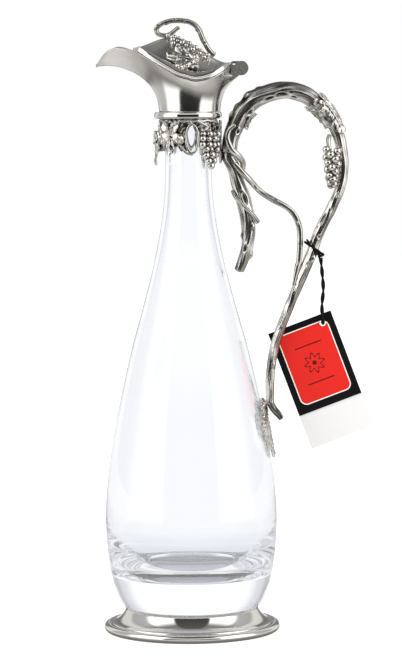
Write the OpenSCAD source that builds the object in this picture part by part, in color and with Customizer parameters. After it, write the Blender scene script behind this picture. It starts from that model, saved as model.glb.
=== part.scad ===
// Claret jug: a clear glass body on a spun metal foot, with a pierced vine collar, a long
// pouring spout, a hinged lid with a twig lift, an entwined vine handle and a swing tag.
// Millimetres. The origin is the centre of the ring that the foot stands on. +Z is up,
// the beak of the spout points to -X and the handle is on +X.

/* [Glass body] */
// Height of the underside of the glass
glass_z = 14.2; // [10:0.2:18]
// Height of the top of the glass lip
lip_z = 299.4; // [285:0.2:315]
// Height of the widest part of the belly
belly_z = 67.6; // [60:0.2:80]
// Radius of the widest part of the belly
belly_r = 49.6; // [46:0.2:54]
// Height at which the neck turns straight
neck_z = 268; // [255:0.5:275]
// Outer radius of the straight neck
neck_r = 13.2; // [12:0.1:14]
// Radius of the bottom edge of the glass, where it stands in the foot
seat_r = 38; // [34:0.2:40]
// Outer radius of the lip inside the collar
lip_r = 14.6; // [14.2:0.1:15]
// Thickness of the glass wall
glass_wall = 2.7; // [2:0.1:4]
// Thickness of the heavy glass base
base_t = 18.5; // [12:0.5:24]
// Radius of the flat floor inside the base
floor_r = 26; // [20:0.5:30]

/* [Foot] */
// Outer radius of the foot at its rolled bead
foot_r = 51; // [49:0.2:56]
// Radius of the rolled bead's section
bead_r = 2.5; // [2:0.1:3]
// Thickness of the spun metal
foot_wall = 1.6; // [1.2:0.1:2.2]
// Width of the ledge that the glass stands on
ledge_w = 6.4; // [4:0.2:9]
// Thickness of the layer of cement at both ends of the glass
cement_t = 0.5; // [0.3:0.05:0.8]

/* [Collar] */
// Outer radius of the collar
collar_r = 19.3; // [18.8:0.1:21]
// Height of the plain band at the top of the collar
band_h = 3.8; // [3:0.1:5]
// Thickness of the plain band
band_wall = 3.7; // [3.4:0.1:3.9]
// Height of the pierced vine work below the band
pierced_h = 22.6; // [20:0.2:26]
// Thickness of the pierced leaves
leaf_t = 1.1; // [0.8:0.1:1.4]
// Width of a collar leaf
collar_leaf_w = 20; // [16:0.5:21]
// Diameter of the thin vine tendrils on the collar
collar_twig_d = 1.5; // [1.2:0.1:1.8]
// Diameter of a collar grape
collar_grape_d = 3.4; // [3.2:0.1:4]

/* [Spout] */
// Height of the spout from the collar to the crown of the beak
spout_h = 37.4; // [34:0.2:42]
// Outer radius of the spout's throat
throat_r = 17.6; // [17:0.1:18]
// Distance that the throat stands off the axis, toward the handle
throat_shift = 1; // [0:0.1:1.2]
// Distance from the axis to the tip of the beak
beak_reach = 52.4; // [46:0.2:60]
// Half of the greatest width of the spout's rim
rim_half = 21.6; // [19:0.2:25]
// Distance from the axis to the rim at the back
rim_back = 26.2; // [25:0.2:28]
// Wall thickness of the spout
spout_wall = 1.5; // [1.2:0.1:2]

/* [Lid and hinge] */
// Rise of the lid's crown above its brim
lid_rise = 20.6; // [16:0.2:24]
// Thickness of the lid
lid_t = 1.4; // [1.1:0.1:1.8]
// Gap between the lid's brim and the spout's rim
lid_gap = 0.4; // [0.35:0.05:0.6]
// Distance from the axis to the front end of the lid
lid_front = 31; // [27:0.2:33]
// Outer diameter of the hinge knuckles
knuckle_d = 8.2; // [7:0.1:8.6]
// Length of the whole hinge barrel
barrel_l = 16.6; // [14:0.2:20]
// Share of the barrel taken by the lid's knuckle
lid_knuckle_l = 5.8; // [5:0.1:7]
// Diameter of the hinge pin
pin_d = 2.4; // [2:0.1:3]
// Radial clearance of the pin in the lid's knuckle
pin_clear = 0.06; // [0.04:0.01:0.1]
// Gap between neighbouring knuckles
knuckle_gap = 0.3; // [0.25:0.05:0.5]
// Depth of the hinge pin below the spout's rim at the back
pin_drop = 2.2; // [1.6:0.1:2.6]
// Diameter of the twig that lifts the lid
lift_d = 3; // [2.6:0.1:3.4]
// Height of the twig's loop above the lid's crown
lift_h = 10.4; // [9:0.2:13]
// Diameter of a grape on the lid
lid_grape_d = 2.6; // [2.4:0.1:3]

/* [Handle] */
// Distance from the axis to the outermost part of the handle's centreline
handle_reach = 89.3; // [84:0.2:98]
// Height at which the handle leaves the collar
root_z = 281; // [279:0.5:285]
// Rise of the handle's arch above its root
arch_rise = 31.5; // [27:0.5:36]
// Height at which the handle's stem lands on the glass
land_z = 134.5; // [128:0.5:140]
// Diameter of the vine at the top of the arch
vine_d = 10; // [9:0.1:10.6]
// Diameter of the thin branch that joins the handle's root to its stem
tendril_d = 3.3; // [2.8:0.1:3.6]
// Diameter of the tendril wound round the handle's root
wrap_d = 3.2; // [2.6:0.1:3.4]
// Diameter of the twig wound round the cut branch
twig_d = 2.2; // [1.8:0.1:2.6]
// Diameter of a grape on the handle
grape_d = 4.1; // [3.9:0.1:4.4]
// Length of the leaf on the handle's shoulder
shoulder_leaf_l = 27; // [20:0.5:28]
// Height of the leaf that carries the stem on the glass
pad_h = 38; // [30:0.5:40]
// Width of the leaf that carries the stem on the glass
pad_w = 38; // [24:0.5:42]
// Thickness of the leaf that carries the stem on the glass
pad_t = 3; // [2.4:0.1:3.2]

/* [Swing tag] */
// Width of the tag
tag_w = 38.6; // [34:0.2:42]
// Height of the dark card at the front of the tag
card_h = 51.2; // [46:0.2:54]
// Length of the pale card that shows below the dark one
strip_h = 20.5; // [14:0.5:24]
// Thickness of each card of the tag
card_t = 0.5; // [0.4:0.05:0.7]
// Diameter of the hole in the tag
tag_hole_d = 3.6; // [3.2:0.1:3.8]
// Diameter of the twisted cord
cord_d = 2.2; // [1.8:0.1:2.4]
// Length of cord from its knot to the tag's hole
tag_drop = 40; // [36:0.5:46]
// Slope at which the tag hangs
tag_tilt = 20.4; // [10:0.1:24]

/* [Hidden] */
$fn = 72;

pewter = "#b8b4ab";
dark_pewter = "#8f8b83";
glass_tint = "#dfe8ec";

// running clearance between pieces that are soldered or laid against each other
seat_gap = 0.12;
collar_top = lip_z + 0.9;
band_z = collar_top - band_h;
pierced_z = band_z - pierced_h;
leaf_r0 = collar_r - leaf_t - 0.4;

// ---------------------------------------------------------------- curves and shells

function v3(p) = [p[0], p[1], p[2]];
function unit(v) = v / max(norm(v), 1e-9);
function mix(a, b, t) = a + (b - a) * t;
function ease(t) = let (c = max(0, min(1, t))) c * c * (3 - 2 * c);

// point of a smooth curve through the points p, at u from 0 to 1
function at(p, u) =
    let (n = len(p) - 1, x = max(0, min(1, u)) * n, i = min(floor(x), n - 1), t = x - i,
         a = p[max(0, i - 1)], b = p[i], c = p[i + 1], d = p[min(n, i + 2)])
    0.5 * (2 * b + (c - a) * t + (2 * a - 5 * b + 4 * c - d) * t * t
           + (3 * b - a - 3 * c + d) * t * t * t);
function heading(p, u) = unit(v3(at(p, min(1, u + 0.004))) - v3(at(p, max(0, u - 0.004))));

// the place beside a path, away from it in direction dir, for a rod of radius r
function beside(p, u, dir, r, gap = seat_gap) =
    let (c = at(p, u), q = v3(c) + unit(dir) * (c[3] + r + gap)) [q[0], q[1], q[2], r];

// a round rod along control points [x, y, z, radius], in n rings
module rod(path, n, sides = 8) {
    p = [for (k = [0:n]) at(path, k / n)];
    t = [for (k = [0:n]) heading(path, k / n)];
    n0 = unit(cross(t[0], abs(t[0][1]) < 0.8 ? [0, 1, 0] : [1, 0, 0]));
    side = [for (i = 0, s = n0; i <= n; i = i + 1,
                 s = i <= n ? unit(s - t[i] * (s * t[i])) : s) s];
    pts = [for (i = [0:n]) let (b = cross(t[i], side[i])) for (k = [0:sides - 1])
        v3(p[i]) + p[i][3] * (cos(360 * k / sides) * side[i] + sin(360 * k / sides) * b)];
    id = function(i, k) i * sides + k % sides;
    faces = concat(
        [[for (k = [0:sides - 1]) id(0, k)], [for (k = [sides - 1:-1:0]) id(n, k)]],
        [for (i = [0:n - 1], k = [0:sides - 1]) [id(i, k), id(i + 1, k), id(i + 1, k + 1)]],
        [for (i = [0:n - 1], k = [0:sides - 1]) [id(i, k), id(i + 1, k + 1), id(i, k + 1)]]);
    polyhedron(pts, faces, convexity = 8);
}

// a straight round strut between two points
module strut(p, q, r) let (d = q - p)
    translate(p) rotate([0, acos(d[2] / norm(d)), atan2(d[1], d[0])]) cylinder(r = r, h = norm(d));

// outline of a five-lobed vine leaf, at angle a, with its tip at 90 degrees
function lobes(a) = (0.5 + 0.5 * pow(abs(cos(2.5 * (a - 90))), 0.8)) * (0.86 + 0.14 * sin(a));

// a leaf laid on a surface: place(u, v, h) gives the point h above the surface
module leaf(place, half_w, half_l, t, n = 40, rings = 3) {
    spot = function(j, k, h)
        let (a = 360 * k / n, r = lobes(a) * j / rings) place(half_w * r * cos(a), half_l * r * sin(a), h);
    top = function(j, k) t * (j == rings ? 0.55 : 1 - 0.18 * abs(sin(2.5 * (360 * k / n - 90))));
    up = [for (j = [1:rings], k = [0:n - 1]) spot(j, k, top(j, k))];
    down = [for (j = [1:rings], k = [0:n - 1]) spot(j, k, 0)];
    m = rings * n;
    pts = concat([place(0, 0, t)], up, [place(0, 0, 0)], down);
    a = function(j, k) 1 + (j - 1) * n + k % n;
    b = function(j, k) m + 2 + (j - 1) * n + k % n;
    faces = concat(
        [for (k = [0:n - 1]) [0, a(1, k + 1), a(1, k)]],
        [for (k = [0:n - 1]) [m + 1, b(1, k), b(1, k + 1)]],
        [for (j = [1:rings - 1], k = [0:n - 1]) each
            [[a(j, k), a(j, k + 1), a(j + 1, k + 1)], [a(j, k), a(j + 1, k + 1), a(j + 1, k)]]],
        [for (j = [1:rings - 1], k = [0:n - 1]) each
            [[b(j, k), b(j + 1, k + 1), b(j, k + 1)], [b(j, k), b(j + 1, k), b(j + 1, k + 1)]]],
        [for (k = [0:n - 1]) each
            [[a(rings, k), a(rings, k + 1), b(rings, k + 1)], [a(rings, k), b(rings, k + 1), b(rings, k)]]]);
    polyhedron(pts, faces, convexity = 8);
}

// a closed shell between two grids of points, each a list of rows, open at both ends
module shell_loop(outer, inner) {
    r = len(outer); c = len(outer[0]);
    pts = concat([for (row = outer) each row], [for (row = inner) each row]);
    o = function(j, i) j * c + i % c;
    n = function(j, i) (r + j) * c + i % c;
    faces = concat(
        [for (j = [0:r - 2], i = [0:c - 1]) each
            [[o(j, i), o(j + 1, i), o(j + 1, i + 1)], [o(j, i), o(j + 1, i + 1), o(j, i + 1)]]],
        [for (j = [0:r - 2], i = [0:c - 1]) each
            [[n(j, i), n(j + 1, i + 1), n(j + 1, i)], [n(j, i), n(j, i + 1), n(j + 1, i + 1)]]],
        [for (i = [0:c - 1]) each
            [[o(r - 1, i), n(r - 1, i), n(r - 1, i + 1)], [o(r - 1, i), n(r - 1, i + 1), o(r - 1, i + 1)]]],
        [for (i = [0:c - 1]) each
            [[o(0, i), n(0, i + 1), n(0, i)], [o(0, i), o(0, i + 1), n(0, i + 1)]]]);
    polyhedron(pts, faces, convexity = 8);
}

// ---------------------------------------------------------------- glass body

// share of the way from neck to belly at ten even heights above the belly
swell = [1, 0.961, 0.888, 0.790, 0.671, 0.535, 0.380, 0.234, 0.112, 0.030, 0];
lip_run = 6;
lip_start = band_z - lip_run - 2;

// outer radius of the glass at height z
function glass_r(z) =
    z < belly_z ? let (t = max(0, (z - glass_z) / (belly_z - glass_z)))
        seat_r + (belly_r - seat_r) * pow(1 - pow(1 - t, 2), 0.56)
    : z < neck_z ? neck_r + (belly_r - neck_r) * at(swell, (z - belly_z) / (neck_z - belly_z))
    : neck_r + (lip_r - neck_r) * ease((z - lip_start) / lip_run);

floor_z = glass_z + base_t;
// inner radius of the glass at height z
function bore_r(z) =
    z < belly_z ? let (t = max(0, (z - floor_z) / (belly_z - floor_z)))
        floor_r + (belly_r - glass_wall - floor_r) * pow(1 - pow(1 - t, 2.2), 0.6)
    : z < neck_z ? glass_r(z) - glass_wall
    : neck_r - glass_wall;

module glass_body() color(glass_tint, 0.4) {
    low = [for (k = [0:9]) glass_z + (belly_z - glass_z) * pow(k / 10, 1.7)];
    high = [for (k = [0:20]) mix(belly_z, neck_z, k / 20)];
    lip = [for (k = [0:6]) lip_start + lip_run * k / 6];
    inlow = [for (k = [0:9]) floor_z + (belly_z - floor_z) * pow(k / 10, 1.9)];
    rotate_extrude($fn = 96) polygon(concat(
        [[0, glass_z + 1], [seat_r - ledge_w - 4, glass_z + 0.6], [seat_r - ledge_w, glass_z]],
        [for (z = low) [glass_r(z), z]],
        [for (z = high) [glass_r(z), z]],
        [for (z = lip) [glass_r(z), z]],
        [[lip_r, lip_z - 0.8], [lip_r - 0.8, lip_z], [neck_r - glass_wall + 0.8, lip_z],
         [neck_r - glass_wall, lip_z - 0.8]],
        [for (k = [20:-1:0]) [bore_r(high[k]), high[k]]],
        [for (k = [9:-1:0]) [bore_r(inlow[k]), inlow[k]]],
        [[floor_r * 0.5, floor_z + 0.5], [0, floor_z + 0.8]]));
}

// ---------------------------------------------------------------- foot

foot_top = glass_z - cement_t;
cone_r = foot_r - 2 * bead_r + 0.6;
cone_z = 2 * bead_r + 0.5;
// height of the foot's upper face at radius r: a hollow curve from the glass to the bead
function cone_top(r) = let (t = (r - seat_r) / (cone_r - seat_r))
    cone_z + (foot_top - cone_z) * pow(1 - t, 2.1);

module foot() color(pewter) rotate_extrude($fn = 96) polygon(concat(
    [[seat_r - ledge_w, foot_top], [seat_r, foot_top]],
    [for (k = [1:8]) let (r = mix(seat_r, cone_r, k / 8)) [r, cone_top(r)]],
    [[cone_r + 0.3, cone_z - 0.6]],
    // the rolled bead, cut flat where it stands
    [for (a = [112:-14:-56]) [foot_r - bead_r + bead_r * cos(a), bead_r + bead_r * sin(a)]],
    [[foot_r - 1.2 * bead_r, 0], [foot_r - 2 * bead_r, 0], [foot_r - 2 * bead_r - 0.6, cone_z - foot_wall]],
    [for (k = [6:-1:1]) let (r = mix(seat_r, cone_r, k / 8)) [r - foot_wall * 0.8, cone_top(r) - foot_wall]],
    [[seat_r - ledge_w, foot_top - foot_wall]]));

module foot_cement() color("#d8d4c8") translate([0, 0, foot_top + 0.02]) difference() {
    cylinder(r = seat_r - 0.4, h = cement_t - 0.04);
    translate([0, 0, -1]) cylinder(r = seat_r - ledge_w + 0.4, h = cement_t + 2);
}

// ---------------------------------------------------------------- collar

band_in = collar_r - band_wall;
module collar_band() color(pewter) rotate_extrude($fn = 96) polygon([
    [band_in, band_z], [collar_r - 0.5, band_z], [collar_r, band_z + 0.5],
    [collar_r + 0.15, band_z + band_h / 2], [collar_r, collar_top - 0.6],
    [collar_r - 0.5, collar_top], [band_in, collar_top]]);

module neck_cement() color("#d8d4c8") translate([0, 0, band_z + 0.1]) difference() {
    cylinder(r = band_in - 0.05, h = lip_z - band_z - 0.9);
    translate([0, 0, -1]) cylinder(r = lip_r + 0.05, h = lip_z);
}

// the pierced ground of the collar, behind the leaves: an open slot inside each oval ring
// and a notched lower edge
sleeve_r = leaf_r0 - 1.4;
sleeve_in = lip_r + 0.5;
sleeve_z = pierced_z + 4;
slot_w = 6.4;
slot_h = pierced_h * 0.36;
module spoke(a, z, r) rotate([0, 0, a]) translate([sleeve_in - 4, 0, z]) rotate([0, 90, 0]) cylinder(r = r, h = 9, $fn = 32);
module collar_sleeve() color(dark_pewter) difference() {
    translate([0, 0, sleeve_z]) cylinder(r = sleeve_r, h = band_z - 0.04 - sleeve_z, $fn = 96);
    translate([0, 0, sleeve_z - 1]) cylinder(r = sleeve_in, h = pierced_h, $fn = 96);
    for (a = [-83, 83]) {
        spoke(a, band_z - pierced_h / 2 + slot_h - slot_w / 2, slot_w / 2);
        spoke(a, band_z - pierced_h / 2 - slot_h + slot_w / 2, slot_w / 2);
        rotate([0, 0, a]) translate([sleeve_in - 4, -slot_w / 2, band_z - pierced_h / 2 - slot_h + slot_w / 2])
            cube([9, slot_w, 2 * slot_h - slot_w]);
    }
    for (k = [0:3], m = [-1, 1]) spoke(m * (18 + 31 * k + (k > 1 ? 26 : 0)), sleeve_z + 0.4 * k, 2.2 + 0.5 * (k % 2));
}

// a point on the pierced sleeve: angle in degrees, height, distance out from its inner face
function on_collar(a, z, h = 0) = [(leaf_r0 + h) * cos(a), (leaf_r0 + h) * sin(a), z];
leaf_half = collar_leaf_w / 2;
module collar_leaf(a0, z0) color(pewter)
    leaf(function(u, v, h) on_collar(a0 - u / leaf_r0 * 57.3, z0 - v, h), leaf_half, leaf_half * 1.2, leaf_t);
// the top lobes of each leaf reach the band
leaf_z = band_z - leaf_half * 0.92;
module collar_leaf_front() collar_leaf(-124, leaf_z);
module collar_leaf_side() collar_leaf(-180.8, leaf_z - 5.4);
module collar_leaf_rear() collar_leaf(126, leaf_z - 1.6);
// the narrow leaf behind the handle's root, tip up to the band; the root is soldered to it
root_half = leaf_half * 1.54;
module root_leaf() color(pewter)
    leaf(function(u, v, h) on_collar(u / leaf_r0 * 57.3, band_z - root_half - 0.1 + v, h), leaf_half * 0.5, root_half, leaf_t + 0.4);

cg = collar_grape_d / 2;
ct = collar_twig_d / 2;
twig_out = leaf_t + ct * 0.2;
// control point of a collar tendril: angle, height below the band, radius share
function cp(a, dz, s = 1) = let (p = on_collar(a, band_z - dz, twig_out)) [p[0], p[1], p[2], ct * s];

// the vine on one side of the collar: an oval ring hung from the band, a stalk from the
// leaf to its foot, and curls that carry the grapes
module collar_vine() {
    rod([for (k = [0:16]) let (a = 95 + 350 * k / 16) cp(-83 + 10.5 * cos(a), pierced_h * 0.5 - pierced_h * 0.36 * sin(a))], 24, 6);
    rod([cp(-104, pierced_h * 0.66, 0.7), cp(-98, pierced_h * 0.78), cp(-91, pierced_h * 0.87), cp(-82, pierced_h * 0.9, 0.9)], 8, 6);
    rod([for (k = [0:8]) cp(-106 + 8.6 * k, ct + 0.12 + 0.5 * (k % 2), 0.85 + 0.15 * (k % 2))], 20, 6);
    rod([cp(-88, 1.2), cp(-86, 2), cp(-83, pierced_h * 0.14, 0.9)], 4, 6);
    rod([cp(-73, 1.2), cp(-67, 2.2), cp(-60, 3.4), cp(-54, 4.4, 0.8)], 8, 6);
    rod([cp(-46, 1.2), cp(-38, 1.7), cp(-26, 3), cp(-17.6, 6.4), cp(-16.6, 10.4, 0.8)], 10, 6);
}
module collar_vine_front() color(pewter) collar_vine();
module collar_vine_rear() color(pewter) mirror([0, 1, 0]) collar_vine();

// a bunch: rows of grapes that narrow downward, wound round the sleeve
rows = [5, 5, 4, 4, 3, 2, 1, 1];
grape_step = collar_grape_d * 0.88;
module collar_grapes() {
    rotate([0, 0, -44]) for (j = [0:len(rows) - 1], k = [0:rows[j] - 1])
        rotate([0, 0, (k - (rows[j] - 1) / 2) * grape_step / leaf_r0 * 57.3])
            translate([leaf_r0 + leaf_t * 0.5 + 0.35 * ((j + k) % 2), 0, band_z - 6.2 - ct - cg - j * grape_step * 0.86])
                sphere(r = cg);
}
module collar_grapes_front() color(pewter) collar_grapes();
module collar_grapes_rear() color(pewter) mirror([0, 1, 0]) collar_grapes();

// ---------------------------------------------------------------- spout

// the rim from the back to the tip of the beak. Each row: share of the reach, share of the
// half width, share of the height, and the pull of the wall's curve at its foot and its end
rim_rows = [
    [ 1.00, 0.00, 0.725, 0.31, 1.00, -0.26],
    [ 0.93, 0.40, 0.690, 0.30, 0.95, -0.24],
    [ 0.76, 0.74, 0.602, 0.25, 0.75, -0.18],
    [ 0.50, 0.93, 0.508, 0.21, 0.50, -0.12],
    [ 0.18, 1.00, 0.463, 0.20, 0.38, -0.10],
    [-0.06, 0.98, 0.513, 0.23, 0.35, -0.12],
    [-0.20, 0.90, 0.610, 0.30, 0.38, -0.16],
    [-0.35, 0.77, 0.738, 0.38, 0.45, -0.20],
    [-0.49, 0.62, 0.864, 0.46, 0.52, -0.20],
    [-0.63, 0.49, 0.958, 0.52, 0.56, -0.16],
    [-0.77, 0.38, 0.976, 0.55, 0.60, -0.06],
    [-0.90, 0.25, 0.885, 0.56, 0.64,  0.03],
    [-1.00, 0.00, 0.695, 0.56, 0.66,  0.10]];
function rim(u) = let (q = at(rim_rows, u))
    [q[0] * (q[0] > 0 ? rim_back : beak_reach), q[1] * rim_half, collar_top + q[2] * spout_h, q[3], q[4], q[5]];

cols = 32; // steps round each half of the spout
// the spout's outer surface: u from the back to the beak, t from the collar to the rim
function spout_at(u, t) =
    let (q = rim(u), a = 180 * pow(u, 0.85), z0 = collar_top + 0.02,
         p0 = [throat_shift + throat_r * cos(a), throat_r * sin(a), z0], p3 = [q[0], q[1], q[2]],
         p1 = p0 + [0, 0, q[3] * spout_h],
         p2 = [mix(p0[0], p3[0], q[4]), mix(p0[1], p3[1], q[4]), p3[2] + q[5] * spout_h], s = 1 - t)
    s * s * s * p0 + 3 * s * s * t * p1 + 3 * s * t * t * p2 + t * t * t * p3;
function spout_dir(u, t) =
    let (du = spout_at(min(1, u + 0.01), t) - spout_at(max(0, u - 0.01), t),
         dt = spout_at(u, min(1, t + 0.02)) - spout_at(u, max(0, t - 0.02)), n = unit(cross(du, dt)),
         e = u == 0 || u == 1 ? [n[0], 0, n[2]] : n,
         // under the lid the rim is ground level, so there the wall is measured across
         flat = pow(t, 4) * (1 - ease((u - 0.74) / 0.1)))
    unit([e[0], e[1], e[2] * (1 - flat)]);
function flip(p) = [p[0], -p[1], p[2]];
function around(f) = concat([for (i = [0:cols]) f(i / cols)], [for (i = [cols - 1:-1:1]) flip(f(i / cols))]);
levels = [0, 0.1, 0.2, 0.3, 0.4, 0.5, 0.6, 0.7, 0.8, 0.9, 1];

// the inner surface; at the rim it is ground to the height that the lid closes on
function spout_in(u, t) = let (p = spout_at(u, t) - spout_wall * spout_dir(u, t))
    t < 1 ? p : [p[0], p[1], mix(rim_z(p[0]), p[2], ease((u - 0.74) / 0.1))];

module spout() color(pewter) shell_loop(
    [for (t = levels) around(function(u) spout_at(u, t))],
    [for (t = levels) around(function(u) spout_in(u, t))]);

// ---------------------------------------------------------------- hinge

pin_x = rim_back + knuckle_d / 2 + 0.4;
pin_z = rim(0)[2] - pin_drop;
kr = knuckle_d / 2;
outer_l = (barrel_l - lid_knuckle_l) / 2 - knuckle_gap;
module along_y(y0, l) translate([pin_x, y0, pin_z]) rotate([-90, 0, 0]) children();

// the place u on the back of the rim at a given distance y from the middle, found by halving
function rim_uy(y, lo = 0, hi = 0.3, k = 14) = k == 0 ? (lo + hi) / 2
    : let (m = (lo + hi) / 2) rim(m)[1] < y ? rim_uy(y, m, hi, k - 1) : rim_uy(y, lo, m, k - 1);
// an outer knuckle: a drilled barrel on a foot that follows the back of the spout
module spout_knuckle() color(pewter) difference() {
    y0 = lid_knuckle_l / 2 + knuckle_gap;
    union() {
        along_y(y0) cylinder(r = kr, h = outer_l);
        translate([0, 0, pin_z - kr * 0.75]) linear_extrude(kr * 1.2) polygon(concat(
            [for (k = [0:4]) let (u = rim_uy(y0 + outer_l * k / 4)) [rim(u)[0] + seat_gap, y0 + outer_l * k / 4]],
            [[pin_x, y0 + outer_l], [pin_x, y0]]));
        // the slanted web below the barrel
        intersection() {
            translate([0, 0, pin_z - 10]) linear_extrude(10) polygon(concat(
                [for (k = [0:4]) let (u = rim_uy(y0 + outer_l * k / 4)) [rim(u)[0] + seat_gap, y0 + outer_l * k / 4]],
                [[pin_x, y0 + outer_l], [pin_x, y0]]));
            translate([0, y0 + outer_l, 0]) rotate([90, 0, 0]) linear_extrude(outer_l) polygon([
                [pin_x - kr * 2, pin_z], [pin_x, pin_z], [pin_x - kr * 0.2, pin_z - kr * 0.9],
                [pin_x - kr * 1.6, pin_z - kr * 2]]);
        }
    }
    along_y(y0 - 1) cylinder(r = pin_d / 2 + 0.01, h = outer_l + 4);
}
module spout_knuckle_far() spout_knuckle();
module spout_knuckle_near() mirror([0, 1, 0]) spout_knuckle();

module hinge_pin() color(dark_pewter) {
    along_y(-barrel_l / 2 - 0.4) cylinder(r = pin_d / 2, h = barrel_l + 0.8);
}

// ---------------------------------------------------------------- lid

// rim position at a given x, found by halving
function rim_u(x, lo = 0, hi = 1, k = 16) = k == 0 ? (lo + hi) / 2
    : let (m = (lo + hi) / 2) rim(m)[0] > x ? rim_u(x, m, hi, k - 1) : rim_u(x, lo, m, k - 1);
function rim_z(x) = rim(rim_u(x))[2];
lid_back = rim_back - 0.6;
lid_len = lid_back + lid_front;
// half width of the lid at x: the rim's own, drawn in to a rounded front
function lid_half(x) = let (f = (x + lid_front) / (lid_len * 0.16))
    (rim(rim_u(x))[1] - 0.35) * (f < 1 ? mix(0.35, 1, sqrt(max(0, 1 - (1 - f) * (1 - f)))) : 1);
function lid_top(x, y) =
    let (q = (lid_back - x) / lid_len, s = min(1, abs(y) / lid_half(x)))
    rim_z(x) + lid_gap + lid_t + (0.3 + lid_rise * pow(sin(180 * max(0, min(1, q))), 1.4)) * 0.5 * (1 + cos(180 * pow(s, 1.12)));

// a point standing off the lid's outer face by h
function on_lid(x, y, h) = let (z = lid_top(x, y), n = unit([z - lid_top(x + 1, y), z - lid_top(x, y + 1), 1]))
    [x, y, z] + n * h;
lid_rows = 22;
lid_cols = 16;
module lid() color(pewter) {
    r = lid_rows; c = lid_cols;
    xs = [for (j = [0:r]) lid_back - lid_len * j / r];
    hw = [for (x = xs) lid_half(x)];
    up = [for (j = [0:r], i = [0:c]) let (y = hw[j] * sin(90 * (2 * i / c - 1))) [xs[j], y, lid_top(xs[j], y)]];
    pts = concat(up, [for (p = up) p - [0, 0, lid_t]]);
    m = len(up);
    a = function(j, i) j * (c + 1) + i;
    b = function(j, i) m + a(j, i);
    faces = concat(
        [for (j = [0:r - 1], i = [0:c - 1]) each
            [[a(j, i), a(j + 1, i), a(j + 1, i + 1)], [a(j, i), a(j + 1, i + 1), a(j, i + 1)]]],
        [for (j = [0:r - 1], i = [0:c - 1]) each
            [[b(j, i), b(j + 1, i + 1), b(j + 1, i)], [b(j, i), b(j, i + 1), b(j + 1, i + 1)]]],
        [for (j = [0:r - 1]) each [[a(j, 0), b(j + 1, 0), a(j + 1, 0)], [a(j, 0), b(j, 0), b(j + 1, 0)]]],
        [for (j = [0:r - 1]) each [[a(j + 1, c), b(j, c), a(j, c)], [a(j + 1, c), b(j + 1, c), b(j, c)]]],
        [for (i = [0:c - 1]) each [[a(0, i + 1), b(0, i), a(0, i)], [a(0, i + 1), b(0, i + 1), b(0, i)]]],
        [for (i = [0:c - 1]) each [[a(r, i), b(r, i + 1), a(r, i + 1)], [a(r, i), b(r, i), b(r, i + 1)]]]);
    polyhedron(pts, faces, convexity = 8);
}

// the lid's knuckle, with a tongue over the rim to the back edge of the lid
module lid_knuckle() color(pewter) {
    under = rim(0)[2] + lid_gap + 0.1;
    difference() {
        union() {
            along_y(-lid_knuckle_l / 2) cylinder(r = kr, h = lid_knuckle_l);
            translate([0, lid_knuckle_l / 2, 0]) rotate([90, 0, 0]) linear_extrude(lid_knuckle_l) polygon([
                [lid_back + seat_gap, under], [pin_x - kr * 0.7, under], [pin_x, pin_z],
                [pin_x + kr * 0.1, pin_z + kr * 0.98], [lid_back + seat_gap, under + lid_t]]);
        }
        along_y(-lid_knuckle_l) cylinder(r = pin_d / 2 + pin_clear, h = 2 * lid_knuckle_l);
    }
}

// the lifting twig: it leaves the crown, bows forward over it and curls back on itself
lr = lift_d / 2;
function crown(x, up, s = 1) = [x, 0, lid_top(x, 0) + up, lr * s];
peak_z = lid_top(-8.8, 0);
function lift(x, k, s = 1) = [x, 0, peak_z + lift_h * k, lr * s];
lid_twig_path = [
    crown(15.4, lr * 1.2, 0.9), crown(13.8, lr * 1.35, 1), crown(11.8, lr * 2.2, 1), lift(10, -0.32), lift(8.6, -0.08),
    lift(6.7, 0.38), lift(4.4, 0.66), lift(0.8, 0.84), lift(-3.4, 0.9), lift(-8, 0.9), lift(-12.2, 0.84, 0.96),
    lift(-15.8, 0.68, 0.92), lift(-17.8, 0.42, 0.88), lift(-16.8, 0.2, 0.85), lift(-13.8, 0.1, 0.82), lift(-11, 0.12, 0.8),
    lift(-8.8, 0.24, 0.8), lift(-6.8, 0.4, 0.78), lift(-4.9, 0.54, 0.74)];
module lid_twig() color(dark_pewter) rod(lid_twig_path, 46, 8);

module lid_leaf() color(pewter) leaf(
    function(u, v, h) on_lid(-1.2 - v, -rim_half * 0.6 + u, 0.35 + h * 1.2),
    3.5, 12.5, leaf_t, 36, 3);

lg = lid_grape_d / 2;
lid_strings = [7, 5, 3];
function lid_berry(w, k) = let (x = -10.4 + lid_grape_d * (1.06 * k + 0.5 * w))
    on_lid(x, -3.2 - 0.24 * (x + 10.4) - lid_grape_d * 0.8 * w, lg + 0.2);
// grapes in three strings beside the crown, each cast with its own foot on the lid
module lid_grapes() color(pewter)
    for (w = [0:len(lid_strings) - 1], k = [0:lid_strings[w] - 1]) translate(lid_berry(w, k)) sphere(r = lg);

// ---------------------------------------------------------------- handle

vr = vine_d / 2;
root_x = collar_r + vr * 0.86 + seat_gap;
// points of the vine: f is the share of the reach from the root, k the share of the arch's
// rise, g the share of the height from the landing to the root, s the share of the thickness
function arch(f, k, s) = [mix(root_x, handle_reach, f), 0, root_z + arch_rise * k, vr * s];
function limb(f, g, s) = [mix(root_x, handle_reach, f), 0, mix(land_z, root_z, g), vr * s];
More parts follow.
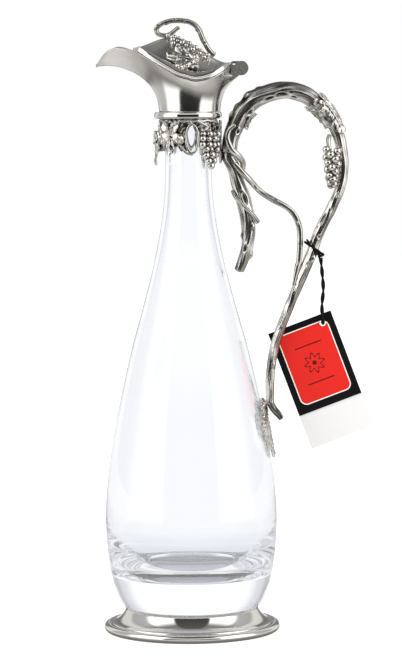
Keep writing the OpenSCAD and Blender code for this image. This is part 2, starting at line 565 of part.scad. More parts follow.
// a point of the stem: standing off the glass by a named distance
function stem(off, g, s) = let (z = mix(land_z, root_z, g)) [glass_r(z) + off, 0, z, vr * s];
land_off = pad_t + vr * 0.5 + 0.2;
vine = [
    arch(0, -0.12, 0.86), arch(0.01, 0.1, 0.94), arch(0.055, 0.36, 1.02), arch(0.135, 0.65, 1.03),
    arch(0.27, 0.885, 1.02), arch(0.48, 1, 1), arch(0.67, 0.9, 0.97), arch(0.83, 0.62, 0.88),
    arch(0.94, 0.25, 0.72), limb(0.99, 0.97, 0.62), limb(1, 0.9, 0.56), limb(0.965, 0.825, 0.58),
    limb(0.88, 0.74, 0.6), limb(0.78, 0.655, 0.62), stem(51.5, 0.575, 0.62), stem(43.9, 0.495, 0.6),
    stem(34.6, 0.405, 0.56), stem(25, 0.31, 0.54), stem(15.8, 0.21, 0.52), stem(9.6, 0.11, 0.52),
    stem(land_off + 0.9, 0.035, 0.5), stem(land_off - 0.8, -0.02, 0.46)];
vn = len(vine) - 1;
module handle_branch() color(dark_pewter) rod(vine, 84, 10);

// the cut branch that trails below the root
function trail(off, z, s) = [glass_r(z) + off, 0, z, vr * s];
stub_l = 68;
stub_top = root_z - arch_rise * 0.12 - 0.25;
stub = [
    [root_x, 0, stub_top, vr * 0.86], [root_x - 0.2, 0, stub_top - 3.2, vr * 0.82],
    trail(12.8, stub_top - stub_l * 0.13, 0.76), trail(14.9, stub_top - stub_l * 0.26, 0.8),
    trail(17.4, stub_top - stub_l * 0.41, 0.86), trail(18.2, stub_top - stub_l * 0.56, 0.84),
    trail(17, stub_top - stub_l * 0.72, 0.74), trail(12.8, stub_top - stub_l * 0.87, 0.66), trail(7.2, stub_top - stub_l, 0.56)];
module handle_stub() color(dark_pewter) rod(stub, 30, 10);

// the thin branch from the front of the cut branch across to the stem
tr = tendril_d / 2;
front = [0, -1, 0];
thin = [
    beside(stub, 0.21, [0.25, -1, 0.1], tr * 0.8), beside(stub, 0.28, [0.75, -0.95, 0], tr, 0.5),
    beside(stub, 0.35, [1, -0.45, 0], tr, 2.2), limb(0.27, 0.818, 2 * 0.165 * 1), limb(0.38, 0.785, 0.33), limb(0.475, 0.762, 0.33),
    limb(0.548, 0.735, 0.33), limb(0.597, 0.695, 0.33), limb(0.615, 0.645, 0.33),
    beside(vine, 14.3 / vn, [-1, 0, 0], tr, 1.1), beside(vine, 14.8 / vn, [-1, -0.2, 0.3], tr * 0.95, 0.3),
    beside(vine, 15.2 / vn, [-1, -0.5, 0.4], tr * 0.75), beside(vine, 15.6 / vn, [-0.8, -0.9, 0.4], tr * 0.5)];
module handle_tendril() color(dark_pewter) rod(thin, 48, 8);

// the tendril wound over the handle's root
wr = wrap_d / 2;
wound = [
    beside(vine, 2.05 / vn, [-0.1, -1, 0], wr * 0.6), beside(vine, 1.7 / vn, [-0.45, -1, 0], wr * 0.95),
    beside(vine, 1.1 / vn, [-0.35, -1, 0], wr), beside(vine, 0.3 / vn, [0.2, -1, 0], wr),
    beside(stub, 0.06, [0.8, -0.8, 0], wr * 1.1, 0.4), beside(stub, 0.18, [1, -0.05, 0], wr * 1.1, 1),
    beside(stub, 0.26, [0.9, 0.6, 0], wr * 0.95, 0.7), beside(stub, 0.32, [0.5, 0.9, 0], wr * 0.7)];
module root_tendril() color(pewter) rod(wound, 36, 8);

// the twig wound across the front of the cut branch
xr = twig_d / 2;
crossing = [
    beside(stub, 0.43, [-1, -0.3, 0], xr * 0.6, 0.3), beside(stub, 0.48, [-0.7, -0.75, 0], xr, 0.25), beside(stub, 0.54, [-0.05, -1, 0], xr, 0.2),
    beside(stub, 0.6, [0.62, -0.78, 0], xr * 1.1, 0.2), beside(stub, 0.65, [0.85, -0.55, 0], xr * 1.3, 1.4)];
module stub_twig() color(dark_pewter) rod(crossing, 16, 8);

// a leaf wrapped on the vine, about the place u, turned ps degrees from the outside to the front
module vine_leaf(u0, ps, half_w, len, lift) {
    run = norm(v3(at(vine, u0 + 0.02)) - v3(at(vine, u0 - 0.02))) / 0.04;
    leaf(function(u, v, h) let (w = u0 + v / run, c = at(vine, w), t = heading(vine, w),
            a = ps + u / (c[3] + lift) * 57.3, o = [-t[2], 0, t[0]])
            v3(c) + (c[3] + seat_gap + lift * (0.3 + 0.7 * abs(v) / len) + h) * (cos(a) * o + sin(a) * front),
        half_w, len / 2, leaf_t, 32, 3);
}
module shoulder_leaf() color(pewter) vine_leaf(7.1 / vn, 20, 8, shoulder_leaf_l, 0.5);
module inner_leaf() color(dark_pewter) vine_leaf(7.1 / vn, 163, 4.4, shoulder_leaf_l * 0.76, 0.4);
// the crumpled bud on the inner side of the arch, above the root
module arch_bud() color(dark_pewter) vine_leaf(2.55 / vn, 176, 2.8, shoulder_leaf_l * 0.55, 0.4);

// the bunch inside the handle: rings of grapes round an axis beside the vine, and its stalk
gr = grape_d / 2;
bunch_rings = 7;
bunch_pitch = gr * 1.44;
bunch_u = 8.87 / vn;
bunch_in = gr * 1.95;
// threes of grapes round a straight core, turned by half a step from ring to ring
module handle_grapes() color(pewter) let (c = at(vine, bunch_u), a = at(vine, bunch_u - 0.8 / vn),
        top = [c[0] - c[3] - bunch_in, -gr * 1.6, c[2]]) {
    for (j = [0:bunch_rings], k = [0:(j == bunch_rings ? 0 : 2)])
        translate(top - [0, 0, j * bunch_pitch]) rotate([0, 0, 120 * k + 60 * (j % 2) + 80])
            translate([j == bunch_rings ? 0 : gr * (j == 0 || j == bunch_rings - 1 ? 1.16 : 1.22), 0, 0]) sphere(r = gr);
    translate(top - [0, 0, bunch_rings * bunch_pitch]) cylinder(r = 0.95, h = bunch_rings * bunch_pitch + 1);
    strut([a[0] - a[3] - 1.1, 0, a[2] - 1.2], top, 0.9);
}

// the leaf that lies on the glass and carries the foot of the stem; its tip curls outward
pad_mid = land_z - pad_h * 0.3;
module pad_leaf() color(pewter) leaf(
    function(u, v, h) let (z = pad_mid - v, a = -u / glass_r(pad_mid) * 57.3, c = v / pad_h * 1.7,
        r = glass_r(z) + 0.15 + (c > 0 ? 1.2 * c + 1.6 * c * c : 3 * c * c)) [(r + h) * cos(a), (r + h) * sin(a), z],
    pad_w / 2, pad_h * 0.6, pad_t, 40, 3);
// the short cut twig below the end of the stem
module stem_spur() color(dark_pewter) let (e = at(vine, 1)) rod([
    [e[0] + 0.3, 0, e[2] - 1.1, 1.3], [e[0] + 2.2, -0.4, e[2] - 3.2, 1.7],
    [e[0] + 4.5, -0.6, e[2] - 6, 1.7], [e[0] + 6.5, -0.8, e[2] - 8.8, 1.2]], 8, 8);

// ---------------------------------------------------------------- swing tag

cr = cord_d / 2;
knot_r = cord_d * 0.86;
tie = at(vine, 13.95 / vn);
knot = [tie[0] + tie[3] + knot_r - 0.15, 0, tie[2] - 1.6];
loop_mid = [tie[0] + 0.65, 0, tie[2] + 2.4];
loop_half = norm(knot - loop_mid);
loop_dir = unit(knot - loop_mid);
loop_deep = tie[3] + cr + 0.15;
module tag_loop() color("#151515") rod([for (k = [0:14]) let (a = 30 + 300 * k / 14,
    p = loop_mid + loop_dir * (loop_half - cr * 0.2) * cos(a) + [0, -1, 0] * loop_deep * sin(a)) [p[0], p[1], p[2], cr]], 26, 8);

module tag_knot() color("#151515") translate(knot) sphere(r = knot_r);

tag_y = 4.4;
hole = knot + [1.3, 0, -tag_drop];
hole_in = 6.8;
hole_down = 5.3;
module tag_cord() color("#151515") rod([
    [knot[0] + 0.1, 0.2, knot[2] - knot_r - 0.1, cr], [knot[0] + 0.9, 0.9, knot[2] - tag_drop * 0.25, cr],
    [knot[0] + 1.6, 1.6, knot[2] - tag_drop * 0.5, cr], [knot[0] + 0.8, 2.1, knot[2] - tag_drop * 0.75, cr],
    [hole[0], 2.5, hole[2] + cr * 2.2, cr], [hole[0], tag_y - 1, hole[2] + cr * 0.5, cr], [hole[0], tag_y + 0.4, hole[2], cr],
    [hole[0], tag_y + 2 * card_t + 0.9, hole[2], cr]], 26, 8);

// a card of the tag: its top edge is level with the hole's clearance, its right side beyond it
module card(h, y) translate([hole[0], y, hole[2]]) rotate([0, -tag_tilt, 0]) difference() {
    translate([hole_in - tag_w, 0, hole_down - h]) cube([tag_w, card_t, h]);
    translate([0, -1, 0]) rotate([-90, 0, 0]) cylinder(d = tag_hole_d, h = card_t + 2);
}
module tag_front() color("#1b1a1c") card(card_h, tag_y);
module tag_back() color("#f4f2ee") card(card_h + strip_h, tag_y + card_t + 0.1);

glass_body();
foot();
foot_cement();
neck_cement();
collar_band();
collar_sleeve();
collar_leaf_front();
collar_leaf_side();
collar_leaf_rear();
root_leaf();
collar_vine_front();
collar_vine_rear();
collar_grapes_front();
collar_grapes_rear();
spout();
spout_knuckle_near();
spout_knuckle_far();
hinge_pin();
lid();
lid_knuckle();
lid_twig();
lid_leaf();
lid_grapes();
handle_branch();
handle_stub();
handle_tendril();
root_tendril();
stub_twig();
arch_bud();
shoulder_leaf();
inner_leaf();
handle_grapes();
pad_leaf();
stem_spur();
tag_loop();
tag_knot();
tag_cord();
tag_front();
tag_back();
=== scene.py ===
# Claret jug: clear glass on a spun pewter foot, with a cast vine collar, a long spout, a hinged lid,
# a vine handle and a swing tag. Metres; the origin is the centre of the ring that the foot stands on.
import bmesh
import bpy
import numpy as np
from mathutils import Matrix


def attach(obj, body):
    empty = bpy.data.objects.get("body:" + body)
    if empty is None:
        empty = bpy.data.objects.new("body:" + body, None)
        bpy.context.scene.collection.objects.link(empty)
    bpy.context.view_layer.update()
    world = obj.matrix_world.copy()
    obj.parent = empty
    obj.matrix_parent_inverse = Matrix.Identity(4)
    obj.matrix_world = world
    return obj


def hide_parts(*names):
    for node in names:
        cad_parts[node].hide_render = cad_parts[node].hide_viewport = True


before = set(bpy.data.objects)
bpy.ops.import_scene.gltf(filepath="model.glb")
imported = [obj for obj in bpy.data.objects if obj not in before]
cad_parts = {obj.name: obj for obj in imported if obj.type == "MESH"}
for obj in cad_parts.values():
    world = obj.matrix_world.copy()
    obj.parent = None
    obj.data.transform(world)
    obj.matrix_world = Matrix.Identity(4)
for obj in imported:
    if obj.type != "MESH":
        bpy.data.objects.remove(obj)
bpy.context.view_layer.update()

# ------------------------------------------------------------------ the picture
# A long lens at the height of the spout, 1.7 m from the jug, looking slightly down; the picture is
# turned by a hair, as a hand-held or badly levelled camera gives it.
MM = 0.001
scene = bpy.context.scene
eye = np.array([6.5, -1720.0, 307.5]) * MM
eye_drop, picture_turn = 132 * MM, 0.45         # how far the aim falls on its way to the jug; degrees
sensor_mm, focal_px, picture_px = 36, 2985, 657      # the lens in pixels of the picture's height
pitch, roll = np.arctan(eye_drop / -eye[1]), np.radians(picture_turn)
right, up = np.array([1.0, 0, 0]), np.array([0, np.sin(pitch), np.cos(pitch)])


def placed(x, y, z, place):
    """The matrix of an object whose own axes point along x, y and z."""
    return Matrix([[x[i], y[i], z[i], place[i]] for i in range(3)] + [[0, 0, 0, 1]])


cam_x = right * np.cos(roll) - up * np.sin(roll)
cam_y = right * np.sin(roll) + up * np.cos(roll)
lens = bpy.data.cameras.new("camera")
lens.lens = sensor_mm * focal_px / picture_px
lens.clip_end = 50
camera = bpy.data.objects.new("camera", lens)
camera.matrix_world = placed(cam_x, cam_y, np.cross(cam_x, cam_y), eye)
scene.collection.objects.link(camera)
scene.camera = camera
scene.view_settings.view_transform = "Standard"


def tint(shade):
    """A colour as linear red, green, blue and alpha: an sRGB hex code, or a number for a linear grey."""
    if not isinstance(shade, str):
        return (shade, shade, shade, 1.0)
    c = np.array([int(shade[i:i + 2], 16) for i in (1, 3, 5)]) / 255
    return (*np.where(c <= 0.04045, c / 12.92, ((c + 0.055) / 1.055) ** 2.4), 1.0)


def add(tree, kind, links=(), stops=(), fade="LINEAR", **settings):
    """Add a shader node with its settings and give its outputs. links fills the inputs, each with a value
    or a socket: a list in their order, or a dict by name or number. stops and fade set a colour ramp."""
    n = tree.nodes.new("ShaderNode" + kind)
    for key, value in settings.items():
        setattr(n, key, value)
    for key, value in links.items() if isinstance(links, dict) else enumerate(links):
        if isinstance(value, bpy.types.NodeSocket):
            tree.links.new(value, n.inputs[key])
        else:
            n.inputs[key].default_value = value
    if stops:
        n.color_ramp.interpolation = fade
        while len(n.color_ramp.elements) < len(stops):
            n.color_ramp.elements.new(0.5)
        for e, (place, shade) in zip(n.color_ramp.elements, stops):
            e.position, e.color = place, tint(shade)
    return n.outputs


def material(name):
    """A new empty material and its tree."""
    m = bpy.data.materials.new(name)
    m.use_nodes = True
    m.node_tree.nodes.clear()
    return m, m.node_tree


# ------------------------------------------------------------------ the studio
# White paper below and behind, white panels at the sides, a dimmer ceiling, and the dark gap in front
# where the camera stands. Polished metal and glass show these shapes, so they are painted on the sky.
sky = bpy.data.worlds.new("studio")
scene.world = sky
sky.use_nodes = True
t = sky.node_tree
t.nodes.clear()
axes = add(t, "SeparateXYZ", [add(t, "TexCoord")["Generated"]])


def round_from_camera(tree, x, y):
    """How far round a direction lies from the camera's side: 0 towards it and 1 straight behind the jug."""
    side = add(tree, "Math", [x], operation="ABSOLUTE")[0]
    ahead = add(tree, "Math", [y, -1], operation="MULTIPLY")[0]
    angle = add(tree, "Math", [side, ahead], operation="ARCTAN2")[0]
    return add(tree, "Math", [angle, np.pi], operation="DIVIDE")[0]


turn = round_from_camera(t, axes[0], axes[1])
height = add(t, "Math", [axes[2], 0.5, 0.5], operation="MULTIPLY_ADD")[0]
# round the horizon: the dark gap to 36 degrees from the camera, a bright panel to 84, a grey corner of
# the room to 125, the lit backdrop, and a dim strip just beside what stands behind the jug
level = add(t, "ValToRGB", [turn], [
    (0.0, 0.02), (0.19, 0.02), (0.225, 2.0), (0.46, 2.0), (0.55, 0.60), (0.68, 0.54), (0.75, 0.92),
    (0.83, 0.85), (0.89, 0.22), (0.97, 0.28), (1.0, 0.6)], "EASE")[0]
# over the camera the gap is crossed by an overhead panel, and the ceiling dims upward
boom = add(t, "ValToRGB", [height], [
    (0.0, 0.02), (0.64, 0.02), (0.70, 1.2), (0.79, 1.2), (0.84, 0.07), (1.0, 0.12)], "EASE")[0]
over = add(t, "ValToRGB", [height], [(0.0, 0.62), (0.30, 0.8), (0.40, 1.0), (0.86, 1.0), (0.95, 0.0)], "EASE")[0]
top = add(t, "ValToRGB", [turn], [(0.0, 0.16), (0.35, 0.30), (1.0, 0.24)], "EASE")[0]
studio = add(t, "Mix", {0: over, 6: top, 7: level}, data_type="RGBA")[2]
ahead = add(t, "ValToRGB", [turn], [(0.19, 1.0), (0.225, 0.0)], "EASE")[0]
studio = add(t, "Mix", {0: ahead, 6: studio, 7: boom}, data_type="RGBA")[2]
# what is seen through the glass: white behind, a cool grey at the sides that draws the outline
behind = add(t, "Math", [axes[1], 0.5, 0.5], operation="MULTIPLY_ADD")[0]
through = add(t, "ValToRGB", [behind], [
    (0.0, "#f4f5f8"), (0.36, "#dcdde3"), (0.48, "#85868f"), (0.68, "#93949d"), (0.82, "#dddee4"),
    (0.92, 1.05)], "EASE")[0]
rays = add(t, "LightPath")
paint = add(t, "Mix", {0: rays["Is Transmission Ray"], 6: studio, 7: through}, data_type="RGBA")[2]
paint = add(t, "Mix", {0: rays["Is Camera Ray"], 6: paint, 7: tint(1)}, data_type="RGBA")[2]
add(t, "OutputWorld", [add(t, "Background", [paint, 1.0])[0]])

# two soft lamps at the sides, aimed at the belly; the painted sky stands for them in the reflections
lamp_aim = np.array([0, 0, 0.18])
for name, place, size, power in (("left_panel", (-1.1, -0.7, 0.9), 0.9, 6.0),
                                 ("right_panel", (1.3, -0.5, 0.8), 0.7, 5.0)):
    lamp = bpy.data.lights.new(name, "AREA")
    lamp.size, lamp.energy = size, power
    obj = bpy.data.objects.new(name, lamp)
    z = np.array(place) - lamp_aim
    z /= np.linalg.norm(z)
    x = np.cross([0, 0, 1.0], z)
    x /= np.linalg.norm(x)
    obj.matrix_world = placed(x, np.cross(z, x), z, place)
    obj.visible_glossy = obj.visible_transmission = False
    scene.collection.objects.link(obj)

# White background paper: matt, and lit from below by its own light so that it stays white round the jug.
paper_half = 4
corners = [(x * paper_half, y * paper_half, 0) for x, y in ((-1, -1), (1, -1), (1, 1), (-1, 1))]
paper_mesh = bpy.data.meshes.new("paper")
paper_mesh.from_pydata(corners, [], [(0, 1, 2, 3)])
paper = bpy.data.objects.new("paper", paper_mesh)
scene.collection.objects.link(paper)
mat, t = material("white background paper")
matt = add(t, "BsdfDiffuse", [tint(0.8)])[0]
own = add(t, "Emission", [tint(1), 0.64])[0]
direct = add(t, "AddShader", [matt, own])[0]
# for glossy rays the paper glows with a painted reflection: a little warm, and ending before the dark gap at the
# camera
spot = add(t, "TexCoord")["Object"]
place = add(t, "SeparateXYZ", [spot])
far = add(t, "VectorMath", [spot], operation="LENGTH")["Value"]
halved = add(t, "Math", [far, 0.5], operation="MULTIPLY")[0]
beyond = add(t, "ValToRGB", [halved], [(0.26, 0.0), (0.52, 1.0)], "EASE")[0]
sector = add(t, "ValToRGB", [round_from_camera(t, place[0], place[1])], [
    (0.19, 0.03), (0.225, 1.6), (0.46, 1.6), (0.55, 0.66), (1.0, 0.85)], "EASE")[0]
# painted shadow in that reflection: dark where the paper meets the foot, white beyond, greying far out
near = add(t, "ValToRGB", [far], [
    (0.05, "#7d7b78"), (0.064, "#fbfaf9"), (0.12, "#fbfaf9"), (0.32, "#d0cecb"), (0.60, "#8d8b88")], "EASE")[0]
shade = add(t, "Mix", {0: beyond, 6: near, 7: sector}, data_type="RGBA")[2]
painted_reflection = add(t, "Emission", [shade, 1.0])[0]
# under the foot no light reaches it, and the thick base of the glass shows that shade
under = add(t, "ValToRGB", [add(t, "Math", [far, 4.0], operation="MULTIPLY")[0]], [
    (0.0, "#b9bac2"), (0.11, "#a9aab2"), (0.135, "#7d7e84"), (0.185, "#9b9ca2"), (0.21, "#e6e8ed"),
    (0.40, "#f7f8fb"), (0.8, 1.04)], "EASE")[0]
clear = add(t, "Emission", [under, 1.0])[0]
rays = add(t, "LightPath")
mixed = add(t, "MixShader", [rays["Is Glossy Ray"], direct, painted_reflection])[0]
add(t, "OutputMaterial", [add(t, "MixShader", [rays["Is Transmission Ray"], mixed, clear])[0]])
paper_mesh.materials.append(mat)

# ------------------------------------------------------------------ glass body
# Blown and fire-polished clear soda glass: a heavy base, a round belly, a long shoulder and a straight
# neck whose lip is cemented into the collar. One piece, the wall about 2.7 mm.
glass_z, belly_z, neck_z, lip_z = 14.2, 67.6, 268.0, 299.4
seat_r, belly_r, neck_r, lip_r = 38.0, 49.6, 13.2, 14.6
wall, floor_z, floor_r, band_z = 2.7, 32.7, 26.0, 296.5
swell = np.array([1, 0.961, 0.888, 0.790, 0.671, 0.535, 0.380, 0.234, 0.112, 0.030, 0])


def curve(points, u):
    """Catmull-Rom curve through the points at each u from 0 to 1: a cubic whose slope at a point is half
    the step between its neighbours."""
    p = np.atleast_2d(np.asarray(points, float).T).T
    n = len(p) - 1
    x = np.clip(np.asarray(u, float), 0, 1) * n
    i = np.minimum(x.astype(int), n - 1)
    s = (x - i)[..., None]
    a, b, c, d = p[np.maximum(i - 1, 0)], p[i], p[i + 1], p[np.minimum(i + 2, n)]
    return 0.5 * (2 * b + (c - a) * s + (2 * a - 5 * b + 4 * c - d) * s ** 2 + (3 * b - a - 3 * c + d) * s ** 3)


def ease(x):
    """Smooth step: zero below 0, one above 1, and 3x^2 - 2x^3 between."""
    x = np.clip(x, 0, 1)
    return x * x * (3 - 2 * x)


def glass_r(z):
    """Outer radius of the glass: an ellipse-like base below the belly, a curve up to the neck, the lip."""
    z = np.asarray(z, float)
    rise = np.clip((z - glass_z) / (belly_z - glass_z), 0, 1)
    low = seat_r + (belly_r - seat_r) * (1 - (1 - rise) ** 2) ** 0.56
    mid = neck_r + (belly_r - neck_r) * curve(swell, (z - belly_z) / (neck_z - belly_z))[..., 0]
    lip = neck_r + (lip_r - neck_r) * ease((z - (band_z - 8)) / 6)
    return np.where(z < belly_z, low, np.where(z < neck_z, mid, lip))


def bore_r(z):
    """Inner radius of the glass: a rounded floor, then the wall's thickness inside the outer radius."""
    rise = np.clip((z - floor_z) / (belly_z - floor_z), 0, 1)
    low = floor_r + (belly_r - wall - floor_r) * (1 - (1 - rise) ** 2.2) ** 0.6
    return np.where(z < belly_z, low, np.where(z < neck_z, glass_r(z) - wall, neck_r - wall))


def piece(name, grids, mat, body, nodes, marks=None):
    """A mesh from grids of points in millimetres, each rows x columns x 3 with four-sided faces between
    them. Seams and poles are welded and faces turned outward. marks are per-point values, one array for
    each grid, kept in the attribute 'relief'. The piece rides on body and replaces the nodes."""
    points, faces, first = [], [], 0
    for g in grids:
        r, c = g.shape[:2]
        k = np.arange(r * c).reshape(r, c) + first
        faces.append(np.stack([k[:-1, :-1], k[1:, :-1], k[1:, 1:], k[:-1, 1:]], -1).reshape(-1, 4))
        points.append(g.reshape(-1, 3))
        first += r * c
    points, faces = np.concatenate(points) * MM, np.concatenate(faces)
    mesh = bpy.data.meshes.new(name)
    mesh.vertices.add(len(points))
    mesh.vertices.foreach_set("co", points.astype(np.float32).ravel())
    mesh.loops.add(faces.size)
    mesh.loops.foreach_set("vertex_index", faces.astype(np.int32).ravel())
    mesh.polygons.add(len(faces))
    mesh.polygons.foreach_set("loop_start", np.arange(0, faces.size, 4, dtype=np.int32))
    mesh.update(calc_edges=True)
    layer = mesh.attributes.new("relief_and_painted_shade", "FLOAT", "POINT")
    values = np.ones(len(points)) if marks is None else np.concatenate([np.ravel(m) for m in marks])
    layer.data.foreach_set("value", values.astype(np.float32))
    b = bmesh.new()
    b.from_mesh(mesh)
    bmesh.ops.remove_doubles(b, verts=b.verts, dist=1e-7)
    bmesh.ops.recalc_face_normals(b, faces=b.faces)
    b.to_mesh(mesh)
    b.free()
    mesh.polygons.foreach_set("use_smooth", np.ones(len(mesh.polygons), bool))
    mesh.materials.append(mat)
    obj = bpy.data.objects.new(name, mesh)
    scene.collection.objects.link(obj)
    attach(obj, body)
    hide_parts(*nodes)
    return obj


def spun(profile, steps=160):
    """Surface of revolution: each profile point (radius, height) swept round the axis."""
    a = np.linspace(0, 2 * np.pi, steps + 1)
    r, z = np.asarray(profile, float).T
    across = r[:, None] * np.ones_like(a)
    return np.stack([across * np.cos(a), across * np.sin(a), z[:, None] * np.ones_like(a)], -1)


# points are closer together where the glass turns: at the base and at the bore's floor
edge_r = 0.8                                    # how far the lip's edges are rounded
low = glass_z + 0.6 + (belly_z - glass_z - 0.6) * np.linspace(0, 1, 22) ** 1.7
high = np.linspace(belly_z, neck_z, 70)[1:]
lip = np.linspace(neck_z, lip_z - edge_r, 24)[1:]
inlow = floor_z + (belly_z - floor_z) * np.linspace(0, 1, 26) ** 1.9
outer = np.concatenate([low, high, lip])
bore = np.concatenate([inlow, high, [lip_z - edge_r]])[::-1]
profile = [(0, glass_z + 1), (seat_r - 18, glass_z + 0.8), (seat_r - 7, glass_z + 0.3), (seat_r - 5, glass_z),
           (seat_r - 0.7, glass_z), (seat_r - 0.2, glass_z + 0.2)]
profile += list(zip(glass_r(outer), outer)) + [(lip_r - edge_r, lip_z), (neck_r - wall + edge_r, lip_z)]
profile += list(zip(bore_r(bore), bore))
profile += [(floor_r * 0.8, floor_z + 0.1), (floor_r * 0.5, floor_z + 0.5), (0, floor_z + 0.8)]

# Soda glass, fire-polished, so it has no roughness; index 1.5 and hardly any colour of its own.
mat, t = material("clear soda glass")
glass = add(t, "BsdfPrincipled", {"Base Color": tint("#fcfdff"), "Roughness": 0.0, "IOR": 1.5,
                                  "Transmission Weight": 1.0})[0]
# Light that has been turned about inside the thick base more often than a render follows is given the
# grey bands of the studio, drawn out level, where a cut path would leave black.
place = add(t, "Mapping", {0: add(t, "TexCoord")["Object"], 3: (14, 14, 190)})[0]
bands = add(t, "TexNoise", {"Vector": place, "Scale": 1.0, "Detail": 2.0, "Distortion": 1.2})[0]
inner = add(t, "ValToRGB", [bands], [
    (0.38, "#8e9095"), (0.46, "#dfe1e8"), (0.52, "#fbfcff"), (0.60, "#c4c6cc")], "EASE")[0]
depth = add(t, "LightPath")
inside = add(t, "Math", [depth["Glossy Depth"], 3.5], operation="GREATER_THAN")[0]
often = add(t, "Math", [depth["Ray Depth"], 7.5], operation="GREATER_THAN")[0]
deep = add(t, "Math", [inside, often], operation="MAXIMUM")[0]
add(t, "OutputMaterial", [add(t, "MixShader", [deep, glass, add(t, "Emission", [inner, 1.0])[0]])[0]])
piece("glass", [spun(profile)], mat, "jug", ["glass_body"])

# ------------------------------------------------------------------ foot
# Spun pewter: a ledge that the glass stands on, a hollow cone and a rolled bead, polished bright after
# spinning. The fine rings left by the tool can just be felt.
foot_r, bead_r, foot_wall, ledge_w = 51.0, 2.5, 1.6, 6.4
foot_top = glass_z - 0.5
cone_r, cone_z = foot_r - 2 * bead_r + 0.6, 2 * bead_r + 0.5


def cone_top(r):
    """Height of the foot's upper face: a hollow curve from the ledge down to the bead."""
    return cone_z + (foot_top - cone_z) * (1 - np.clip((r - seat_r) / (cone_r - seat_r), 0, 1)) ** 2.1


def pewter(name, light, dark, shine, dull, scratch, grain, depth):
    """Pewter with bright ridges and dark hollows by a per-point attribute that also carries painted shade on some
    pieces. shine and dull are its roughness there, varied by the share scratch; grain is the wear's size in
    millimetres and depth its height."""
    m, t = material(name)
    relief_and_painted_shade = add(t, "Attribute", attribute_name="relief_and_painted_shade")["Fac"]
    place = add(t, "TexCoord")["Object"]
    spread = add(t, "Mapping", {0: place, 3: tuple(1000 / g for g in grain)})[0]
    fine = add(t, "TexNoise", {"Vector": spread, "Scale": 1.0, "Detail": 4.0, "Roughness": 0.6})[0]
    cloud = add(t, "TexNoise", {"Vector": place, "Scale": 90.0, "Detail": 3.0})[0]
    patch = add(t, "Math", [add(t, "Math", [cloud, 0.5], operation="SUBTRACT")[0], 0.6], operation="MULTIPLY")[0]
    patina_and_painted_shade = add(t, "Math", [relief_and_painted_shade, patch], operation="ADD", use_clamp=True)[0]
    colour = add(t, "Mix", {0: patina_and_painted_shade, 6: tint(dark), 7: tint(light)}, data_type="RGBA")[2]
    gloss = add(t, "MapRange", {0: patina_and_painted_shade, 3: dull, 4: shine})[0]
    wear = add(t, "MapRange", {0: fine, 3: 1 - scratch, 4: 1 + scratch})[0]
    gloss = add(t, "Math", [gloss, wear], operation="MULTIPLY")[0]
    bump = add(t, "Bump", {"Height": fine, "Strength": 0.4, "Distance": depth * MM})[0]
    add(t, "OutputMaterial", [add(t, "BsdfPrincipled", {
        "Base Color": colour, "Metallic": 1.0, "Roughness": gloss, "Normal": bump})[0]])
    return m


# Polished pewter: a warm light grey mirror, its gloss slightly broken by wiping marks.
bright = pewter("polished spun pewter", "#e0ddd8", "#9a968f", 0.07, 0.22, 0.3, (0.5, 0.5, 6.0), 0.004)
a = np.radians(np.linspace(140, -62, 28))
profile = [(seat_r - ledge_w, foot_top), (seat_r - 1.2, foot_top), (seat_r - 0.3, foot_top - 0.05)]
r = np.linspace(seat_r + 0.3, cone_r - 0.2, 26)
profile += list(zip(r, cone_top(r))) + [(cone_r + 0.05, cone_z - 0.5), (cone_r - 0.02, cone_z - 1.2)]
profile += list(zip(foot_r - bead_r + bead_r * np.cos(a), bead_r + bead_r * np.sin(a)))
profile += [(foot_r - 1.3 * bead_r, 0.0), (foot_r - 1.8 * bead_r, 0.0), (foot_r - 2 * bead_r, 0.25),
            (foot_r - 2 * bead_r - 0.6, cone_z - foot_wall)]
r = np.linspace(cone_r - 1, seat_r + 0.6, 14)
profile += list(zip(r - foot_wall * 0.8, cone_top(r) - foot_wall))
profile += [(seat_r - ledge_w, foot_top - foot_wall), (seat_r - ledge_w, foot_top)]
piece("foot", [spun(profile)], bright, "jug", ["foot"])

# ------------------------------------------------------------------ cement
# A pale grey filler that beds the glass on the foot and seals its lip in the collar.


def coat(mat, *nodes):
    """Give nodes that are kept as the CAD made them their real material."""
    for n in nodes:
        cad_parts[n].data.materials.clear()
        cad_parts[n].data.materials.append(mat)


# Set gypsum filler: matt, with a sandy grit of about 0.7 mm that can just be seen.
mat, t = material("pale filler")
grit = add(t, "TexNoise", {"Vector": add(t, "TexCoord")["Object"], "Scale": 1400.0, "Detail": 2.0})[0]
bump = add(t, "Bump", {"Height": grit, "Strength": 0.3, "Distance": 0.05 * MM})[0]
colour = add(t, "ValToRGB", [grit], [(0.3, "#bdb9b2"), (0.7, "#d6d3cc")])[0]
add(t, "OutputMaterial", [add(t, "BsdfPrincipled", {"Base Color": colour, "Roughness": 0.75, "Normal": bump})[0]])
coat(mat, "foot_cement", "neck_cement")

# ------------------------------------------------------------------ collar band
# The cast ring that closes the collar and carries the spout, turned and polished.
collar_r, band_h, band_in, collar_top = 19.3, 3.8, 15.6, 300.3
a = np.radians(np.linspace(-90, 90, 20))
profile = [(band_in, band_z), (collar_r - 0.9, band_z)]
profile += list(zip(collar_r - 0.75 + 0.9 * np.cos(a), (band_z + collar_top) / 2 + (band_h / 2) * np.sin(a)))
profile += [(collar_r - 0.9, collar_top), (band_in, collar_top), (band_in, band_z)]
piece("band", [spun(profile)], bright, "jug", ["collar_band"])

# ------------------------------------------------------------------ spout
# Raised sheet pewter, soldered to the band: a round throat that opens into a long trough with a turned
# edge, polished outside and a little duller inside; here one finish covers both faces.
spout_h, throat_r, throat_shift, spout_wall = 37.4, 17.6, 1.0, 1.5
beak_reach, rim_half, rim_back = 52.4, 21.6, 26.2
